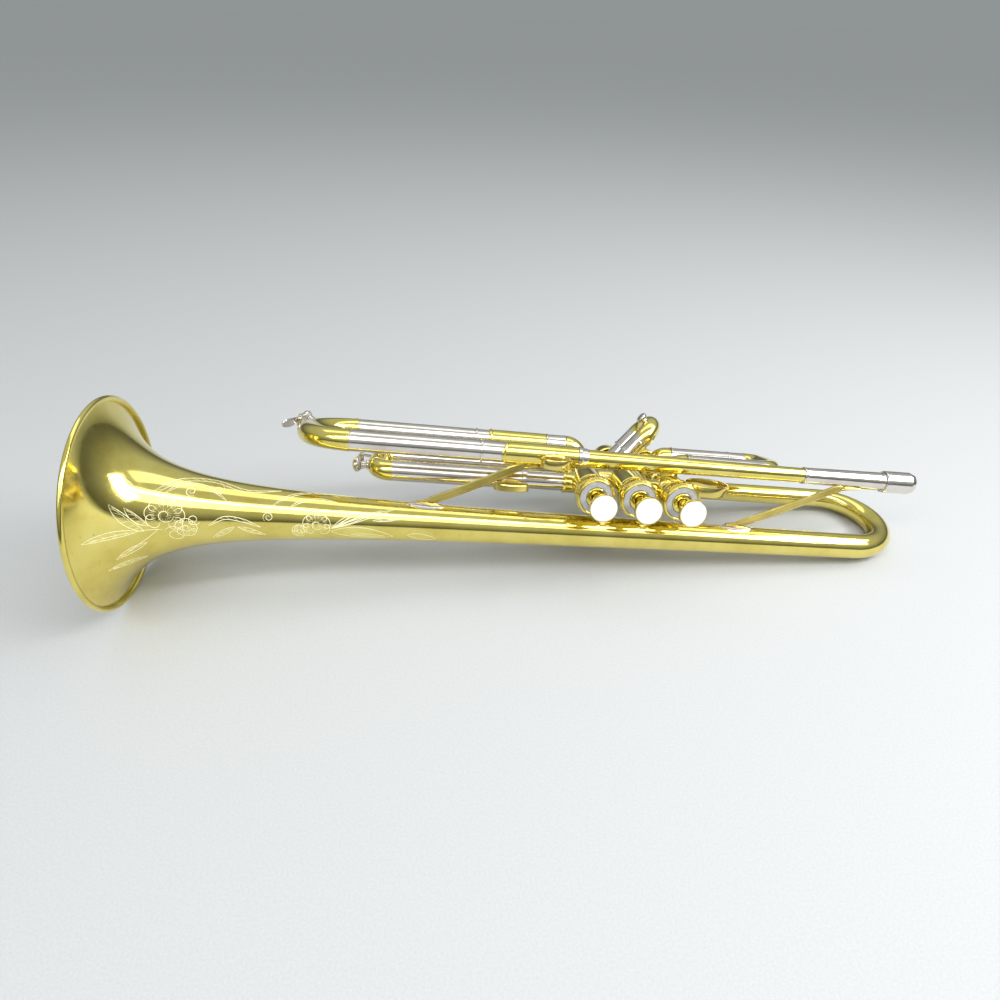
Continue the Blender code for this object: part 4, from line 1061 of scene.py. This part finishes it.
def make_post():
    """Short turned post on the bell's side."""
    base = box_middle("bell_post")
    base.y = bell_radius(base.x) - 0.3 * MM
    length = (high("bell_post").y - base.y) / MM + 0.5
    outline = [(0.0, 0.05), (0.0, 4.4), (0.7, 4.2), (1.3, 2.4), (2.4, 1.7)]
    outline += above(length, (-1.6, 1.7), (-0.5, 2.4), (0, 3.0), (0, 0.05))
    piece("bell_stay_post", [lathe(outline, base, Y, 40, 0.4)], DULL_BRASS, "bell_post")


def make_finger_rings():
    def third_line(x):
        slide = box_middle("third_slide")
        return Vector((x, slide.y, high("third_slide").z - THIRD_LINE_INSET))

    for node, name, body, foot in (
            ("pinky_hook", "little_finger_ring", FRAME_BODY,
             (lead_point, BRASS_TUBE_RADIUS, 7 * MM, 90.0, 3.0, 0.7)),
            ("thumb_ring", "thumb_loop", FRAME_BODY, None),
            ("third_finger_ring", "third_slide_ring", "third_slide",
             (third_line, SLIDE_RADIUS, 6 * MM, 96.0, 2.8, 0.9))):
        centre = box_middle(node)
        shown = [loop_band(centre, high(node) - centre)]
        if foot:
            line, radius, reach, *plate = foot
            shown.append(saddle_plate(line, lambda x: radius, centre.x - reach, centre.x + reach,
                                      *plate))
        piece(name, shown, DULL_BRASS, node, body, 30.0)


# ---- water keys
def make_water_key(tag, reach, drop, cup_radius, cup_height, lever, widths, barrel, slide):
    """Lever with its cup and cork, and the nipple and saddle on its slide; sizes in mm."""
    key = tag + "_water_key"
    hinge = local(joint_axis(key + "_tilt"))
    pivot = TURN.transposed() @ Vector(joint_named(key + "_tilt")["pos_m"]) - Vector(ORIGIN)
    spoke = middle(key + "_seat") - pivot
    spoke -= hinge * spoke.dot(hinge)
    along = Matrix.Rotation(math.atan2(drop, reach), 3, hinge) @ spoke.normalized()
    outward = hinge.cross(along)
    depth = drop * 2.0

    def at(a, b, c=0.0):
        return pivot + along * a * MM + outward * b * MM + hinge * c * MM

    def turned(base, axis, count, soft, *outline):
        return lathe(outline, base, axis, count, soft, along)

    path = curve([at(a, b) for a, b in lever], 8)
    breadth = np.interp(np.linspace(0.0, 1.0, len(path)), np.linspace(0.0, 1.0, len(widths)),
                        widths)
    cup = turned(at(reach, 0), outward, 40, 0.4, (0.9, 0.05), (0.9, cup_radius - 0.4),
                 (1.2, cup_radius), (2.2, cup_radius), (cup_height * 0.72, cup_radius * 0.82),
                 (cup_height * 0.93, cup_radius * 0.45), (cup_height, 0.05))
    hinge_tube = turned(pivot, hinge, 32, 0.25, (-barrel, 0.05), (-barrel, 1.25), (barrel, 1.25),
                        (barrel, 0.05))
    shown = [bar(path, breadth * MM, 1.4 * MM, outward), cup, hinge_tube]
    piece(tag + "_key_lever", shown, NICKEL, key, key)
    cork = turned(at(reach, 0), outward, 32, 0.2, (0.05, 0.05), (0.05, cup_radius - 0.9),
                  (0.95, cup_radius - 0.9), (0.95, 0.05))
    piece(tag + "_key_cork", [cork], FELT, body=key)
    nipple = above(-depth, (-1.6, 0.05), (-1.6, 3.3), (0.3, 3.0), (0.9, 2.3))
    nipple += [(-0.5, 2.1), (-0.05, 1.8), (-0.05, 0.05)]
    fixed = [turned(at(reach, 0), outward, 40, 0.3, *nipple)]
    for sign in (-1.0, 1.0):
        ear = [at(0, 1.5, sign * (barrel + 0.6)), at(0, 0, sign * (barrel + 0.6)),
               at(0, -depth * 0.5, sign * (barrel + 0.4)), at(0.4, -depth - 1.4, sign * barrel)]
        fixed.append(bar(ear, [1.6 * MM, 2.8 * MM, 3.2 * MM, 4.2 * MM], 0.9 * MM, hinge))
        fixed.append(turned(at(0, 0, sign * (barrel + 1.2)), hinge, 24, 0.2, (-0.5, 0.05),
                            (-0.5, 1.4), (0.5, 1.4), (0.5, 0.05)))
    piece(tag + "_key_saddle", fixed, NICKEL, key + "_seat", slide)


def make_water_keys():
    make_water_key("main", 7.5, 2.5, 3.4, 4.9,
                   [(-12.8, 0.9), (-11.0, 0.6), (-8.0, 0.3), (-5.0, 0.3), (-2.0, 1.0),
                    (2.0, 2.3), (5.0, 3.3), (8.0, 4.0)],
                   [3.2, 5.8, 6.4, 6.0, 3.8, 3.0, 3.2, 3.6], 2.4, "tuning_slide")
    make_water_key("third", 8.5, 2.1, 4.8, 5.0,
                   [(-8.4, 2.4), (-7.0, 2.2), (-4.5, 1.8), (-2.0, 1.6), (2.0, 2.2),
                    (5.0, 3.2), (9.0, 3.9)],
                   [2.4, 4.8, 5.4, 3.4, 2.6, 2.8, 3.2], 3.4, "third_slide")


# ---- everything
make_bell()
make_engraving()
make_leadpipe()
make_outer_tubes()
make_tuning_slide()
make_third_slide()
make_first_slide()
make_second_slide()
for index in (1, 2, 3):
    make_valve(index)
    make_spring(index)
    mesh = frame["nodes"]["piston_%d" % index].data
    mesh.materials.clear()
    mesh.materials.append(STEEL)
make_knuckles()
make_brace("front_brace", "front_stay", BRASS_TUBE_RADIUS, 27 * MM)
make_brace("rear_brace", "rear_stay", 5.4 * MM, 15 * MM)
make_post()
make_finger_rings()
make_water_keys()


# ---- stage, light and camera
FLOOR_HALF = 20.0
FLOOR_GAP = 0.2 * MM
FAR_FLOOR_COLOUR = (0.279, 0.301, 0.301)

# A window's glint on the flare, in trumpet axes: where it lands and the way it leaves.
GLINT_PLACE = Vector((18.3, 19.5, 27.4)) * MM
GLINT_WAY = Vector((0.775, 0.548, 0.315))
GLINT_DISTANCE = 1.2

# The camera in trumpet axes: where it stands, and its right, up and backward directions.
CAMERA_PLACE = Vector((0.174136, 0.144534, 0.392337))
CAMERA_AXES = Matrix(((0.987992, 0.102419, 0.115677), (-0.050775, 0.922358, -0.382985),
                      (-0.145920, 0.372513, 0.916483)))
CAMERA_LENS = 24.8
CAMERA_SHIFT = (-0.0239, 0.0503)


def placed(name, data):
    shown = bpy.data.objects.new(name, data)
    bpy.context.scene.collection.objects.link(shown)
    return shown


def make_floor():
    mesh = bpy.data.meshes.new("floor")
    corners = [(x * FLOOR_HALF, y * FLOOR_HALF, 0) for x, y in ((-1, -1), (1, -1), (1, 1), (-1, 1))]
    mesh.from_pydata(corners, [], [(0, 1, 2, 3)])
    mesh.materials.append(make_floor_material())
    floor = placed("floor", mesh)
    floor.location.z = cad_box[0][2] - FLOOR_GAP


def add_softbox(name, place, aim, size, power):
    light = bpy.data.lights.new(name, "AREA")
    light.shape = "RECTANGLE"
    light.size, light.size_y = size
    light.energy = power
    lamp = placed(name, light)
    lamp.location = place
    lamp.rotation_euler = (Vector(aim) - Vector(place)).to_track_quat("-Z", "Y").to_euler()


def make_world():
    """Plain studio surround, a little brighter overhead than at table height."""
    world = bpy.data.worlds.new("studio")
    look = Look("studio", world)
    direction = look.add("TexCoord", {}).outputs["Generated"]
    height = look.add("SeparateXYZ", {"Vector": direction}).outputs["Z"]
    colour = look.ramp(height, (0.0, (0.10, 0.105, 0.11)), (0.12, (0.17, 0.18, 0.18)),
                       (0.45, (0.50, 0.53, 0.52)), (1.0, (0.60, 0.63, 0.62)))
    from_camera = look.add("LightPath", {}).outputs["Is Camera Ray"]
    look.shade(Color=look.mixed(from_camera, colour, FAR_FLOOR_COLOUR))
    bpy.context.scene.world = world


def make_light():
    add_softbox("key_light", (0.15, -0.62, 1.30), (0.05, 0, 0.05), (3.4, 0.10), 9.5)
    add_softbox("front_light", (0.25, -0.80, 1.25), (0.1, 0, 0.05), (3.4, 0.8), 17.0)
    add_softbox("top_light", (0.1, 0.55, 1.6), (0, 0, 0), (2.4, 0.7), 5.5)
    window = PLACE @ (GLINT_PLACE + GLINT_WAY * GLINT_DISTANCE)
    add_softbox("window_glint", window, PLACE @ GLINT_PLACE, (0.85, 0.30), 6.0)


def make_camera():
    camera = bpy.data.cameras.new("camera")
    camera.sensor_width = 36.0
    camera.lens = CAMERA_LENS
    camera.shift_x, camera.shift_y = CAMERA_SHIFT
    camera.clip_start = 0.02
    holder = placed("camera", camera)
    turn = CAMERA_AXES.transposed().to_4x4()
    holder.matrix_world = PLACE @ Matrix.Translation(CAMERA_PLACE) @ turn
    bpy.context.scene.camera = holder


make_floor()
make_world()
make_light()
make_camera()
bpy.context.scene.view_settings.view_transform = "Standard"
